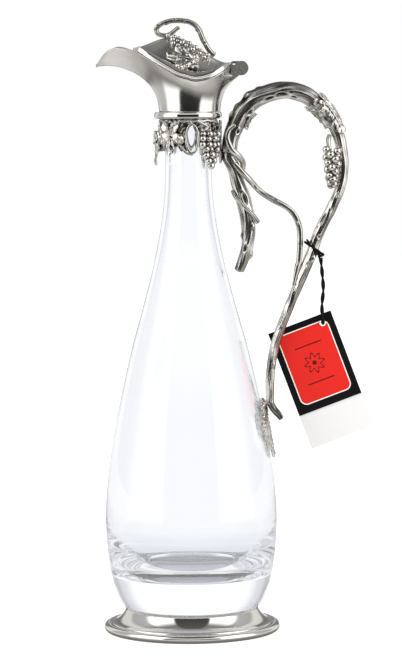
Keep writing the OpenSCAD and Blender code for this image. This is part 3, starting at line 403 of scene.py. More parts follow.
# each row: x, y and height as shares of the reach, half width and spout's height, then the wall's pulls
rim_rows = [
    (1.00, 0.00, 0.725, 0.31, 1.00, -0.26), (0.93, 0.40, 0.690, 0.30, 0.95, -0.24),
    (0.76, 0.74, 0.602, 0.25, 0.75, -0.18), (0.50, 0.93, 0.508, 0.21, 0.50, -0.12),
    (0.18, 1.00, 0.463, 0.20, 0.38, -0.10), (-0.06, 0.98, 0.513, 0.23, 0.35, -0.12),
    (-0.20, 0.90, 0.610, 0.30, 0.38, -0.16), (-0.35, 0.77, 0.738, 0.38, 0.45, -0.20),
    (-0.49, 0.62, 0.864, 0.46, 0.52, -0.20), (-0.63, 0.49, 0.958, 0.52, 0.56, -0.16),
    (-0.77, 0.38, 0.976, 0.55, 0.60, -0.06), (-0.90, 0.25, 0.885, 0.56, 0.64, 0.03),
    (-1.00, 0.00, 0.695, 0.56, 0.66, 0.10)]


def rim(u):
    """The rim from the back (u 0) to the beak (u 1): x, y, z and the three pulls of the wall's curve."""
    q = curve(rim_rows, u)
    x = q[..., 0] * np.where(q[..., 0] > 0, rim_back, beak_reach)
    return np.stack([x, q[..., 1] * rim_half, collar_top + q[..., 2] * spout_h, q[..., 3], q[..., 4], q[..., 5]], -1)


def spout_at(u, t):
    """The spout's outer face: at each u a cubic Bezier curve from the collar (t 0) to the rim (t 1)."""
    q = rim(u)
    a = np.pi * u ** 0.85
    p0 = np.stack([throat_shift + throat_r * np.cos(a), throat_r * np.sin(a), np.full_like(a, collar_top)], -1)
    p3 = q[..., :3]
    p1 = p0 + np.stack([0 * a, 0 * a, q[..., 3] * spout_h], -1)
    p2 = p0 + (p3 - p0) * q[..., 4:5]
    p2[..., 2] = p3[..., 2] + q[..., 5] * spout_h
    t = t[..., None]
    s = 1 - t
    return s ** 3 * p0 + 3 * s * s * t * p1 + 3 * s * t * t * p2 + t ** 3 * p3


def unit(v):
    """Vectors scaled to length one."""
    return v / np.maximum(np.linalg.norm(v, axis=-1, keepdims=True), 1e-12)


table_rim = rim(np.linspace(0, 1, 800))[::-1]


def rim_z(x):
    """Height of the rim where it is at x."""
    return np.interp(x, table_rim[:, 0], table_rim[:, 2])


def rim_y(x):
    """Half width of the rim where it is at x."""
    return np.interp(x, table_rim[:, 0], table_rim[:, 1])


u, v = np.meshgrid(np.linspace(0, 1, 97), np.linspace(0, 1, 49))
outside = spout_at(u, v)
du = spout_at(np.minimum(1, u + 0.004), v) - spout_at(np.maximum(0, u - 0.004), v)
dv = spout_at(u, np.minimum(1, v + 0.01)) - spout_at(u, np.maximum(0, v - 0.01))
across = unit(np.cross(du, dv))
across[:, [0, -1], 1] = 0
flat = (v ** 4 * (1 - ease((u - 0.74) / 0.1)))[..., None]
across = unit(across * np.concatenate([np.ones_like(flat), np.ones_like(flat), 1 - flat], -1))
inside = outside - spout_wall * across
# the solder fillet that carries the back of the spout out to the hinge
swell_out = 3.6 * np.clip((outside[..., 2] - 311) / 9, 0, 1.12) ** 2 * (1 - ease((outside[..., 2] - 320.6) / 2.2))
outside[..., 0] += swell_out * np.exp(-(outside[..., 1] / 9.5) ** 4) * (outside[..., 0] > 10)
hold = ease((u[-1] - 0.74) / 0.1)
inside[-1, :, 2] = rim_z(inside[-1, :, 0]) * (1 - hold) + inside[-1, :, 2] * hold
# the edge is rounded: a half circle carried from the outer face over to the inner one
k = np.linspace(0, np.pi, 9)[1:-1, None, None]
middle, reach = (outside[-1] + inside[-1]) / 2, (outside[-1] - inside[-1]) / 2
edge = middle + np.cos(k) * reach + np.sin(k) * np.array([0, 0, 0.3])
half = np.concatenate([outside, edge, inside[::-1]])
whole = np.concatenate([half, (half * [1, -1, 1])[:, -2::-1]], 1)
whole = np.concatenate([whole, whole[:1]])
# Raised sheet, planished and buffed by hand: the same pewter with a softer gloss than the spun foot.
sheet = pewter("buffed sheet pewter", "#dbd9d5", "#9a968f", 0.15, 0.3, 0.3, (2.5, 2.5, 2.5), 0.006)
piece("spout", [whole], sheet, "jug", ["spout"])

# ------------------------------------------------------------------ hinge
# Cast knuckles soldered to the back of the spout, drilled for a steel pin; the barrel is left with the
# rough grey skin of the casting.
cast = pewter("rough cast pewter", "#dcdad4", "#9c9993", 0.42, 0.56, 0.3, (0.7, 0.7, 0.7), 0.18)
coat(cast, "spout_knuckle_near", "spout_knuckle_far", "lid_knuckle")
# Drawn wire: fine lines along the pin vary its gloss.
mat, t = material("drawn steel pin")
drawn = add(t, "Mapping", {0: add(t, "TexCoord")["Object"], 3: (4000, 200, 4000)})[0]
gloss = add(t, "MapRange", {0: add(t, "TexNoise", {"Vector": drawn, "Scale": 1.0})[0], 3: 0.45, 4: 0.6})[0]
add(t, "OutputMaterial", [add(t, "BsdfPrincipled", {
    "Base Color": tint("#a5a39e"), "Metallic": 1.0, "Roughness": gloss})[0]])
coat(mat, "hinge_pin")

# ------------------------------------------------------------------ lid
# Raised sheet pewter that follows the dip of the spout's rim, with a domed middle and a bright flared
# brim, polished.
lid_rise, lid_t, lid_gap, lid_front = 20.6, 1.4, 0.4, 31.0
lid_back = rim_back - 0.6
lid_len = lid_back + lid_front


def lid_half(x):
    """Half width of the lid: the rim's own less a margin, drawn in to a rounded front."""
    f = np.clip((x + lid_front) / (lid_len * 0.16), 0, 1)
    return (rim_y(x) - 0.35) * (0.35 + 0.65 * np.sqrt(np.maximum(0, 1 - (1 - f) ** 2)))


def lid_top(x, y):
    """Height of the lid's outer face: the rim's height plus a ridge that fades to the sides as a cosine."""
    q = np.clip((lid_back - x) / lid_len, 0, 1)
    s = np.minimum(1, np.abs(y) / np.maximum(lid_half(x), 1e-6))
    ridge = 0.3 + lid_rise * np.sin(np.pi * q) ** 1.4
    return rim_z(x) + lid_gap + lid_t + ridge * 0.5 * (1 + np.cos(np.pi * s ** 1.12))


x = lid_back - lid_len * (0.5 - 0.5 * np.cos(np.linspace(0, np.pi, 90)))
s = np.sin(np.linspace(-np.pi / 2, np.pi / 2, 90))
xx = np.broadcast_to(x[:, None], (90, 90))
yy = lid_half(x)[:, None] * s
top = np.stack([xx, yy, lid_top(xx, yy)], -1)
below = top - [0, 0, lid_t]
# the turned brim: a rounded bead along both sides and the front, which fades at the hinge
brim_at, brim_h = 0.74, 2.5                     # share of the half width where it starts; its height
edge_way = np.clip((np.abs(s) - 0.75) / 0.25, 0, 1)
bead = brim_h * np.sqrt(np.clip(1 - (2 * edge_way - 1) ** 2, 0, 1)) * (edge_way > 0)
top[..., 2] += bead * ease((lid_back - xx) / 7) * ease((xx + lid_front) / 4)
belt_top = np.concatenate([top[0], top[1:, -1], top[-1, -2::-1], top[-2::-1, 0]])
k = np.linspace(0, 1, 5)[:, None, None]
belt = belt_top - [0, 0, lid_t] * k + unit(belt_top * [1, 1, 0]) * 0.25 * np.sin(np.pi * k)
# Satin sheet: brushed with fine wool, so it is duller than the brim. Beside the brim its colour is darkened in a band
# of painted shade.
satin = pewter("satin sheet pewter", "#d2d0cc", "#3d3b38", 0.26, 0.34, 0.3, (2.5, 2.5, 2.5), 0.008)
painted_shade_band = np.exp(-((np.abs(s) - 0.73) / 0.07) ** 2) * ease((lid_back - xx) / 6) * ease((xx + lid_front) / 4)
blade = piece("lid", [top, below[::-1], belt], satin, "lid", ["lid"],
              [1.15 - painted_shade_band, 0 * xx + 1, 0 * belt[..., 0] + 1])
blade.data.materials.append(sheet)
centre = np.empty(len(blade.data.polygons) * 3)
blade.data.polygons.foreach_get("center", centre)
centre = centre.reshape(-1, 3) / MM
on_brim = np.abs(centre[:, 1]) > brim_at * lid_half(centre[:, 0])
blade.data.polygons.foreach_set("material_index", on_brim.astype(np.int32))

# ------------------------------------------------------------------ twigs and vines
# Cast pewter branches, bent to shape and soldered: bark grooves run along them, with knots and pruned
# scars. They were dipped to turn them black and then rubbed bright on the ridges.
dark = pewter("antiqued cast pewter", "#dddad3", "#2c2b29", 0.15, 0.42, 0.35, (0.6, 0.6, 0.6), 0.06)

dome = 0.35                                     # height of a rod's closed end as a share of its radius


def carried(p, ref):
    """Along a path: its direction, two directions square to it, the first near ref, and the distance run."""
    ref = np.asarray(ref, float)
    along = unit(np.gradient(p, axis=0))
    side = unit(ref - along * (along @ ref)[:, None])
    run = np.concatenate([[0], np.cumsum(np.linalg.norm(np.diff(p, axis=0), axis=1))])
    return along, side, np.cross(along, side), run


def tube(path, rings, sides, bark=None, ref=(0, 1, 0)):
    """A round rod along the control points (x, y, z, radius), closed at both ends by a low dome. bark is a
    function of the distance along the rod, the angle round it and the radius, and gives height and tone."""
    c = curve(path, np.linspace(0, 1, rings))
    p, r = c[:, :3], c[:, 3]
    along, side, other, run = carried(p, ref)
    a = np.linspace(0, 2 * np.pi, sides + 1)
    ss, aa = np.meshgrid(run, a, indexing="ij")
    h, tone = bark(ss, aa, r[:, None]) if bark else (0 * ss, 1 + 0 * ss)
    h[:, -1], tone[:, -1] = h[:, 0], tone[:, 0]
    q = (r[:, None] + h)[..., None]
    skin = p[:, None] + q * (np.cos(a)[:, None] * side[:, None] + np.sin(a)[:, None] * other[:, None])
    k = np.linspace(0, 1, 4)[1:, None, None]
    first = skin[0] + (p[0] - skin[0]) * k - along[0] * r[0] * dome * np.sin(k * np.pi / 2)
    last = skin[-1] + (p[-1] - skin[-1]) * k + along[-1] * r[-1] * dome * np.sin(k * np.pi / 2)
    tones = np.concatenate([np.repeat(tone[:1] * 0.6, 3, 0), tone, np.repeat(tone[-1:] * 0.6, 3, 0)])
    return np.concatenate([first[::-1], skin, last]), tones


def bark(depth, seed, ribs=7, knots=(), shade=0.0):
    """Bark: ridges that run along the rod and sway, broken lengthways. Height is depth times the ridges'
    share above their middle; tone is 0 in the grooves and 1 on the ridges. shade is painted shade: it
    lowers the tone on the outer side and raises it on the inner one. A knot is (place, angle, height,
    half width, stretch): a boss if its height is positive, a hollow with a raised lip if it is negative."""
    rng = np.random.default_rng(seed)
    ph = rng.uniform(0, 2 * np.pi, 12)

    def skin(s, a, r):
        sway = a + 0.30 * np.sin(s / 11 + ph[0]) + 0.12 * np.sin(s / 4.7 + ph[1]) + s * 0.010
        ridge = 1 - np.abs(np.sin(ribs * sway / 2 + 0.7 * np.sin(s / 7.1 + ph[2])))
        fine = 1 - np.abs(np.sin((2 * ribs + 3) * sway / 2 + ph[3] + 1.1 * np.sin(s / 5.3 + ph[4])))
        broken = 0.5 + 0.5 * np.sin(s / 2.6 + 2.1 * np.sin(a + ph[5]) + ph[6]) * np.sin(s / 5.2 + ph[7])
        tone = 0.45 * ridge + 0.25 * fine + 0.3 * broken
        h = depth * (tone - 0.5)
        # painted shade on the rod's outer side and painted light on its inner side
        tone = tone - shade * 0.5 * np.sin(a)
        for place, angle, height, size, stretch in knots:
            off = r * (np.mod(a - angle + np.pi, 2 * np.pi) - np.pi)
            d = np.sqrt(((s - place) / (size * stretch)) ** 2 + (off / size) ** 2)
            core = np.exp(-d ** 2.5)
            lip = np.exp(-((d - 1.25) / 0.35) ** 2)
            if height > 0:
                h, tone = h + height * core, tone + 0.35 * core - 0.35 * lip
            else:
                h, tone = h + height * core - 0.45 * height * lip, tone - 0.9 * core + 0.5 * lip
        return h, np.clip(1.3 * tone + 0.10, 0, 1)

    return skin


def in_dark(name, grids, tones, slot="pewter", body="jug", gain=1, lift=0):
    """A casting in the antiqued pewter; gain and lift say how bright it was rubbed."""
    piece(name + "_piece", grids, dark, body, [name], [np.clip(gain * x + lift, 0, 1) for x in tones])


outer_a, inner_a, front_a = np.pi / 2, -np.pi / 2, np.pi
vine = [
    (23.7, 0, 277.2, 4.3), (24.4, 0, 284.2, 4.7), (27.3, 0, 292.3, 5.1), (32.6, 0, 301.5, 5.2), (41.4, 0, 308.9, 5.1),
    (55.2, 0, 312.5, 5.0), (67.7, 0, 309.4, 4.9), (78.2, 0, 300.5, 4.4), (85.4, 0, 288.9, 3.6), (88.6, 0, 276.6, 3.1),
    (89.3, 0, 266.4, 2.8), (87.0, 0, 255.4, 2.9), (81.4, 0, 242.9, 3.0), (74.9, 0, 230.5, 3.1), (70.7, 0, 218.7, 3.1),
    (65.8, 0, 207.0, 3.0), (60.0, 0, 193.8, 2.8), (54.3, 0, 179.9, 2.7), (49.1, 0, 165.3, 2.6), (46.6, 0, 150.6, 2.6),
    (46.1, 0, 139.6, 2.5), (46.1, 0, 131.6, 2.3)]
vine_knots = [
    (20, 1.9, 1.3, 1.9, 1.2), (25, outer_a, 1.0, 1.4, 1.3), (33, 1.8, 1.5, 2.1, 1.3), (39, outer_a, 0.7, 1.2, 1.2),
    (27, 3.9, -1.0, 1.2, 1.9), (13, 3.7, -0.8, 1.0, 1.6), (43, 3.75, -0.7, 0.9, 4.2), (51, 3.6, -0.8, 1.1, 4.0),
    (59, 3.9, -0.5, 0.8, 3.0), (131, 3.1, -0.6, 0.8, 1.4), (146, 3.75, -0.7, 0.9, 5.0), (157, 2.9, -0.5, 0.8, 1.6),
    (170, 2.5, 1.0, 1.4, 1.5), (174, 3.1, -0.6, 0.8, 2.0), (214, 3.2, -0.4, 0.7, 2.0), (236, 2.6, 0.5, 0.9, 1.5)]
# bark's last number paints shade on the vine's outer side and light on its inner side
grid, tones = tube(vine, 560, 60, bark(0.5, 3, 8, vine_knots, 0.5))
# the tone is raised from the outer turn of the arch on down the stem
raised_tone = 0.36 * ease((np.linspace(0, 1, len(tones)) - 0.36) / 0.12)[:, None]
in_dark("handle_branch", [grid], [tones], "dark_pewter", lift=raised_tone)

# the other branches: body, slot, how bright, rings and sides, bark, and the points of the rod
for name, body, slot, lift, count, skin, path in (
        # the stub's last bark number paints shade on its inner side and light on its outer side
        ("handle_stub", "jug", "dark_pewter", 0, (150, 48), bark(0.7, 5, 6, [
            (28, 2.9, -0.9, 1.3, 2.6), (44, 2.4, 0.9, 1.5, 1.4), (57, 3.4, -0.8, 1.0, 2.4),
            (60, outer_a, 1.2, 1.5, 1.4), (50, inner_a, 1.0, 1.3, 1.5)], -0.25), [
            (23.7, 0, 277.0, 4.3), (23.5, 0, 273.8, 4.1), (26.0, 0, 268.1, 3.8), (28.4, 0, 259.3, 4.0),
            (31.6, 0, 249.1, 4.3), (33.6, 0, 238.9, 4.2), (34.3, 0, 228.0, 3.7), (32.2, 0, 217.8, 3.3),
            (28.7, 0, 209.0, 2.8)]),
        ("handle_tendril", "jug", "dark_pewter", 0, (220, 28), bark(0.3, 8, 4, [
            (18, 3.4, -0.5, 0.6, 2.6), (34, 2.6, 0.4, 0.7, 1.6), (52, front_a, 0.5, 0.8, 1.5),
            (64, 3.3, -0.4, 0.5, 2.0)]), [
            (26.4, -5.1, 270.8, 1.3), (30.3, -4.7, 266.3, 1.7), (35.0, -3.2, 261.2, 1.7), (41.4, 0, 254.3, 1.7),
            (48.6, 0, 249.5, 1.7), (54.9, 0, 246.1, 1.7), (59.7, 0, 242.2, 1.7), (62.9, 0, 236.3, 1.7),
            (64.1, 0, 229.0, 1.7), (63.5, 0, 215.3, 1.7), (62.3, -0.9, 210.8, 1.6), (61.1, -1.8, 205.9, 1.2),
            (60.0, -2.7, 200.4, 0.8)]),
        ("root_tendril", "jug", "pewter", 0.3, (110, 28), bark(0.2, 11, 3), [
            (26.9, -6.2, 292.8, 1.0), (23.5, -6.1, 289.8, 1.5), (22.4, -6.1, 284.9, 1.6), (25.0, -6.0, 278.7, 1.6),
            (28.0, -4.5, 275.8, 1.8), (31.1, -0.3, 271.6, 1.8), (31.2, 3.3, 267.5, 1.5), (29.8, 4.5, 263.4, 1.1)]),
        ("stub_twig", "jug", "dark_pewter", 0, (60, 24), bark(0.25, 13, 3), [
            (24.9, -1.5, 254.9, 0.7), (27.3, -4.1, 250.7, 1.1), (32.1, -5.6, 245.8, 1.1), (36.9, -4.4, 241.0, 1.2),
            (39.7, -3.8, 236.7, 1.4)]),
        ("stem_spur", "jug", "dark_pewter", -0.3, (40, 24), bark(0.3, 15, 4), [
            (46.0, 0, 135.5, 1.7), (46.5, -0.2, 131.8, 2.1), (48.2, -0.4, 128.6, 2.1), (50.6, -0.6, 125.7, 2.0),
            (52.6, -0.8, 122.9, 1.5)]),
        ("lid_twig", "lid", "dark_pewter", 0, (260, 28), bark(0.35, 17, 4, [
            (9, front_a, -0.4, 0.5, 2.0), (18, outer_a, 0.5, 0.9, 1.2), (27, 2.4, 0.5, 0.9, 1.2),
            (33, 3.6, -0.4, 0.5, 1.8), (38, outer_a, 0.6, 1.0, 1.2), (44, 3.8, 0.5, 0.9, 1.2)]), [
            (15.4, 0, 332.8, 1.4), (13.8, 0, 334.0, 1.5), (11.8, 0, 336.6, 1.5), (10.0, 0, 339.9, 1.5),
            (8.6, 0, 342.4, 1.5), (6.7, 0, 347.2, 1.5), (4.4, 0, 350.1, 1.5), (0.8, 0, 351.9, 1.5),
            (-3.4, 0, 352.6, 1.5), (-8.0, 0, 352.6, 1.5), (-12.2, 0, 351.9, 1.4), (-15.8, 0, 350.3, 1.4),
            (-17.8, 0, 347.6, 1.3), (-16.8, 0, 345.3, 1.3), (-13.8, 0, 344.2, 1.2), (-11.0, 0, 344.5, 1.2),
            (-8.8, 0, 345.7, 1.2), (-6.8, 0, 347.4, 1.2), (-4.9, 0, 348.8, 1.1)])):
    grid, tones = tube(path, *count, skin)
    in_dark(name, [grid], [tones], slot, body, lift=lift)

# ------------------------------------------------------------------ leaves
# Cast vine leaves with five lobes, toothed edges, raised veins and a crumpled blade, darkened and rubbed
# bright like the branches.


def leaf(place, half_w, half_l, thick, seed=1, rings=30, steps=240, curl=0.5, cut=0.28):
    """A leaf on a surface: place(u, v, h) gives points h above it. The blade is a polar grid whose radius
    is the outline: five lobes cut in by the share cut, a notch for the stalk and small teeth. The main
    veins run from the notch to the lobes' tips; between them the blade is blistered and folded."""
    rng = np.random.default_rng(seed)
    a = np.linspace(0, 2 * np.pi, steps + 1)
    wave = np.abs(np.cos(2.5 * (a - np.pi / 2)))
    teeth = np.abs(np.mod(a * (31 if half_w > 6 else 17) / (2 * np.pi) + 0.25, 1) * 2 - 1)
    lobe = (1 - cut + cut * wave ** 1.2) * (0.88 + 0.12 * np.sin(a)) * (0.93 + 0.07 * teeth)
    lobe = lobe - 0.30 * np.exp(-((a - 1.5 * np.pi) / 0.16) ** 2)
    j = np.linspace(0, 1, rings)[:, None]
    u = half_w * lobe * j * np.cos(a)
    v = half_l * lobe * j * np.sin(a)
    foot_v = -0.42 * half_l
    scale = min(half_w, half_l) / 10
    fine = np.clip((half_w - 2) / 5, 0.3, 1)
    veins, ribs = np.zeros_like(u), np.zeros_like(u)
    for k in range(5):
        d = np.pi / 2 + k * 2 * np.pi / 5
        tip = np.array([half_w * np.cos(d), half_l * np.sin(d)]) * (0.88 + 0.12 * np.sin(d))
        run = tip - [0, foot_v]
        long = np.hypot(*run)
        run = run / long
        along = u * run[0] + (v - foot_v) * run[1]
        off = u * run[1] - (v - foot_v) * run[0]
        on = (along > 0) & (along < long)
        vein = np.exp(-(off / (0.34 + 0.2 * scale)) ** 2) * on * np.clip(1.15 - along / long, 0.3, 1)
        rib = np.exp(-((np.mod(along - 0.9 * np.abs(off), 2.6) - 1.3) / 0.3) ** 2) * on
        veins = np.maximum(veins, vein)
        ribs = np.maximum(ribs, rib * np.exp(-(off / (3.2 * scale + 1)) ** 2))
    folds = wave * j
    pace, bold = 1 / (0.6 + 0.4 * scale), 0.7 + 0.45 * scale
    puffs = [0.5 + 0.5 * np.sin(w * pace + rng.uniform(0, 6)) for w in (u * 1.5, v * 1.3)]
    blister = puffs[0] * puffs[1]
    ruffle = j ** 3 * (0.5 + 0.5 * np.sin(9 * a + rng.uniform(0, 6)))
    body_h = thick * (0.7 - 0.25 * j ** 4)
    h = body_h + bold * (0.55 * veins + fine * (0.2 * ribs + 0.3 * blister)) + 0.35 * folds + curl * ruffle
    tone = 0.30 + 0.7 * veins + fine * (0.25 * ribs + 0.3 * blister - 0.1) + 0.25 * folds + 0.25 * j ** 6
    tone = np.clip(tone - 0.35 * np.exp(-((veins - 0.35) / 0.15) ** 2), 0, 1)
    top = place(u, v, h)
    low = place(u, v, np.maximum(h - thick * 0.9, 0.0))
    edge = np.stack([top[-1], low[-1]])
    return [top, low[::-1], edge], [tone, tone[::-1], np.stack([tone[-1], tone[-1]])]


leaf_r0, leaf_t, leaf_z = 17.8, 1.1, 287.3


def on_collar(a, z, h):
    """A point on the pierced sleeve: angle in degrees, height, and distance out from its inner face."""
    a = np.radians(a)
    return np.stack(np.broadcast_arrays((leaf_r0 + h) * np.cos(a), (leaf_r0 + h) * np.sin(a), z), -1)


# The ground of the collar: a pierced sleeve with an oval opening on each side and a ragged lower edge,
# cast with a crumpled foliage texture and left dark. Two plates meet above and below the openings; the
# ends of each row follow the oval's half width at that height.
sleeve_in, sleeve_r, sleeve_z = lip_r + 0.5, leaf_r0 - 1.4, 277.9
slot_w, slot_h, slot_drop = 3.2, 8.1, 11.3
grids, tones = [], []
for a0, a1 in ((-83, 83), (83, 277)):
    t, k = np.meshgrid(np.linspace(0, 1, 60), np.linspace(0, 1, 260), indexing="ij")
    a = a0 + (a1 - a0) * k
    turn = np.radians(a)
    ragged = 1.1 * np.sin(9 * turn) + 0.7 * np.sin(23 * turn + np.radians(40)) + 0.5 * np.sin(41 * turn)
    ragged = np.maximum(sleeve_z + 1.3 + ragged, sleeve_z + 0.05)
    z = ragged + (band_z - 0.04 - ragged) * t
    slot_way = (z - (band_z - slot_drop)) / slot_h
    gap_w = np.degrees(slot_w / sleeve_r * np.sqrt(np.clip(1 - slot_way ** 2, 0, 1)))
    turn = np.radians(a0 + gap_w + (a1 - a0 - 2 * gap_w) * k)
    q = turn * sleeve_r
    lump = np.sin(q * 1.1 + 1.7 * np.sin(z * 0.7)) * np.sin(z * 1.2 + 1.3 * np.sin(q * 0.8 + 1))
    twig = 1 - np.abs(np.sin(0.45 * q + 0.9 * np.sin(0.5 * z + 0.2 * q)))
    twig = np.clip(twig - 0.72, 0, 1) / 0.28
    h = 0.45 * (0.5 + 0.5 * lump) + 0.75 * twig
    h = np.minimum(h, 1.25) * np.clip(t * 12, 0, 1) * np.clip((1 - t) * 12, 0, 1)
    tone = np.clip(0.32 + 0.45 * lump + 0.9 * twig, 0, 1)
    skin = [np.stack([r * np.cos(turn), r * np.sin(turn), z], -1) for r in (sleeve_r + h, sleeve_in + 0 * h)]
    edges = [np.stack([g[i] for g in skin]) for i in (0, -1)]
    edges += [np.stack([g[:, i] for g in skin]) for i in (0, -1)]
    grids += [skin[0], skin[1][::-1]] + edges
    tones += [tone, tone[::-1]] + [0 * g[..., 0] + 0.3 for g in edges]
piece("collar_ground", grids, dark, "jug", ["collar_sleeve"], tones)

for name, a0, z0, seed in (("front", -124, leaf_z, 60), ("side", -180.8, leaf_z - 5.4, 6),
                           ("rear", 126, leaf_z - 1.6, 44)):
    made = leaf(lambda u, v, h: on_collar(a0 - np.degrees(u / leaf_r0), z0 - v, h), 10, 12, leaf_t, seed,
                curl=1.2, cut=0.58)
    in_dark("collar_leaf_" + name, *made, gain=1.25, lift=0.3)
in_dark("root_leaf", *leaf(lambda u, v, h: on_collar(np.degrees(u / leaf_r0), 281 + v, h), 5, 15.4, 1.3, 4))


def on_vine(u0, turn, lift, length):
    """A place function on the vine about u0: v runs along it and u round it, turn degrees from the
    outside towards the front."""
    n = len(vine) - 1
    step = curve(vine, np.array([u0 / n + 0.02, u0 / n - 0.02]))[:, :3]
    run = np.linalg.norm(step[0] - step[1]) / 0.04

    def place(u, v, h):
        w = u0 / n + v / run
        c = curve(vine, w)
        ahead = unit(curve(vine, w + 0.004)[..., :3] - curve(vine, w - 0.004)[..., :3])
        a = np.radians(turn) + u / (c[..., 3] + lift)
        out_way = np.stack([-ahead[..., 2], 0 * u, ahead[..., 0]], -1)
        off = lift * (0.3 + 0.7 * np.abs(v) / length)
        d = (c[..., 3] + 0.3 + off + h)[..., None]
        return c[..., :3] + d * (np.cos(a)[..., None] * out_way - np.sin(a)[..., None] * [0, 1, 0])

    return place


in_dark("shoulder_leaf", *leaf(on_vine(7.12, 56, 0.5, 29), 9.0, 15, leaf_t, 21, cut=0.2), lift=0.3)
in_dark("arch_bud", *leaf(on_vine(2.55, 168, 0.4, 15), 3.6, 8.0, leaf_t, 27, curl=0.9), "dark_pewter", lift=-0.1)
in_dark("inner_leaf", *leaf(on_vine(6.85, 150, 0.4, 25), 5.4, 12.5, leaf_t, 23, curl=0.9), "dark_pewter")

pad_z, pad_h, pad_bend = 123.1, 38, 1.7         # height of the leaf's middle, its length, and its bend


def on_pad(u, v, h):
    """The leaf on the glass below the stem: it bends with the glass and its tip lies along it."""
    v = np.where(v < 0, 0.75 * v, v)
    z, c = pad_z - v, v / pad_h * pad_bend
    r = glass_r(z) + 0.2 + np.where(c > 0, 0.3 * c + 0.2 * c * c, 3 * c * c) + h
    a = -u / float(glass_r(pad_z))
    return np.stack([r * np.cos(a), r * np.sin(a), z], -1)


in_dark("pad_leaf", *leaf(on_pad, 19, 22.8, 2.2, 31, rings=44, steps=320, curl=0.7), gain=1.2, lift=0.3)


def on_lid(x, y, h):
    """A point standing off the lid's outer face by h, square to it."""
    z = lid_top(x, y)
    n = unit(np.stack([z - lid_top(x + 0.5, y), z - lid_top(x, y + 0.5), np.full_like(z, 0.5)], -1))
    return np.stack([x, y, z], -1) + n * np.asarray(h)[..., None]


made = leaf(lambda u, v, h: on_lid(-1.2 - v, -rim_half * 0.56 + u, 0.3 + 1.5 * h), 4.9, 11.2, 1.9, 44,
            curl=0.7, cut=0.24)
in_dark("lid_leaf", *made, body="lid", gain=1.3, lift=0.25)

# ------------------------------------------------------------------ grapes
# Round cast berries, each with a dark seam where it meets its neighbours, and a short stalk.


def berries(centres, r, stir, seed, rows=13, steps=22):
    """A ball at each centre, both stirred a little as in a modelled bunch; the tone of a point falls where
    another berry's centre is near, because the dark stays in the seams."""
    rng = np.random.default_rng(seed)
    centres = np.asarray(centres, float) + rng.uniform(-stir, stir, (len(centres), 3))
    size = r * rng.uniform(1 - 0.25 * stir, 1 + 0.25 * stir, len(centres))
    th, ph = np.meshgrid(np.linspace(0, np.pi, rows), np.linspace(0, 2 * np.pi, steps + 1), indexing="ij")
    ball = np.stack([np.sin(th) * np.cos(ph), np.sin(th) * np.sin(ph), np.cos(th)], -1)
    grids, tones = [], []
    for c, q in zip(centres, size):
        grids.append(c + q * ball)
        others = centres[np.linalg.norm(centres - c, axis=1) > 1e-6]
        gap = np.min(np.linalg.norm(grids[-1][..., None, :] - others, axis=-1), -1)
        tones.append(np.clip((gap - r * 0.95) / (0.55 * r), 0, 1) * 0.9 + 0.1)
    return grids, tones


bunch_a, bunch_step, bunch_drop, bunch_z = np.radians(-44), 3.7, 3.0, band_z - 8.65
for name, sign in (("front", 1), ("rear", -1)):
    centres = []
    for j, n in enumerate((4, 4, 4, 3, 3, 2, 1)):
        for k in range(n):
            a = bunch_a + (k - (n - 1) / 2) * bunch_step / leaf_r0
            d = leaf_r0 + leaf_t * 0.5 + 0.35 * ((j + k) % 2)
            centres.append((d * np.cos(a), sign * d * np.sin(a), bunch_z - j * bunch_drop))
    in_dark("collar_grapes_" + name, *berries(centres, 2.1, 0.55, 8))

# on the lid: three rows on its near side, and four berries by the hinge
grape_w, near_y, spots = 2.6, -3.2, []
for w, n in enumerate((7, 5, 3)):
    for k in range(n):
        x = grape_w * (1.06 * k + 0.5 * w)
        spots.append((x - 10.4, near_y - 0.24 * x - grape_w * 0.66 * w, 1.45 + 0.2 * (k % 2)))
spots = np.array(spots + [(8.6, -8.2, 1.3), (10.6, -6.4, 1.3), (12.0, -8.8, 1.3), (6.6, -6.2, 1.3)])
in_dark("lid_grapes", *berries(on_lid(*spots.T), 1.4, 0.75, 3), body="lid")

# the hanging bunch: berries wound down a tapering cone by the golden angle, 137.5 degrees
grape_n, grape_r, bunch_h = 24, 2.05, 20.9
k = np.arange(grape_n)
down = k / (grape_n - 1)
a, d = np.radians(137.5 * k + 200), grape_r * (1.78 - 1.4 * down ** 1.6)
centres = np.column_stack([82.3 + d * np.cos(a), -3.3 + d * np.sin(a), 278.3 - bunch_h * down])
grids, tones = berries(centres, grape_r * 1.05, 0.35, 5, 15, 26)
path = [(81.3, -0.4, 286.4, 1.3), (80.6, -1.2, 284.0, 1.4), (80.6, -2.2, 281.5, 1.2), (81.4, -3.3, 278.0, 1.1)]
stalk, mark = tube(path, 30, 20, bark(0.15, 5, 3))
in_dark("handle_grapes", grids + [stalk], tones + [mark])

# ------------------------------------------------------------------ collar tendrils
# Thin cast tendrils that join the leaves and the grapes below the band and leave an open oval on each
# side.
tendril_r, pierced_h = 0.75, 22.6               # thickness; height of the pierced part of the collar


def on_sleeve(a, drop, share, sign):
    """A control point of a tendril: angle, height below the band, share of its thickness."""
    q = on_collar(np.float64(a), band_z - drop, leaf_t + tendril_r * 0.2)
    return (q[0], sign * q[1], q[2], tendril_r * share)


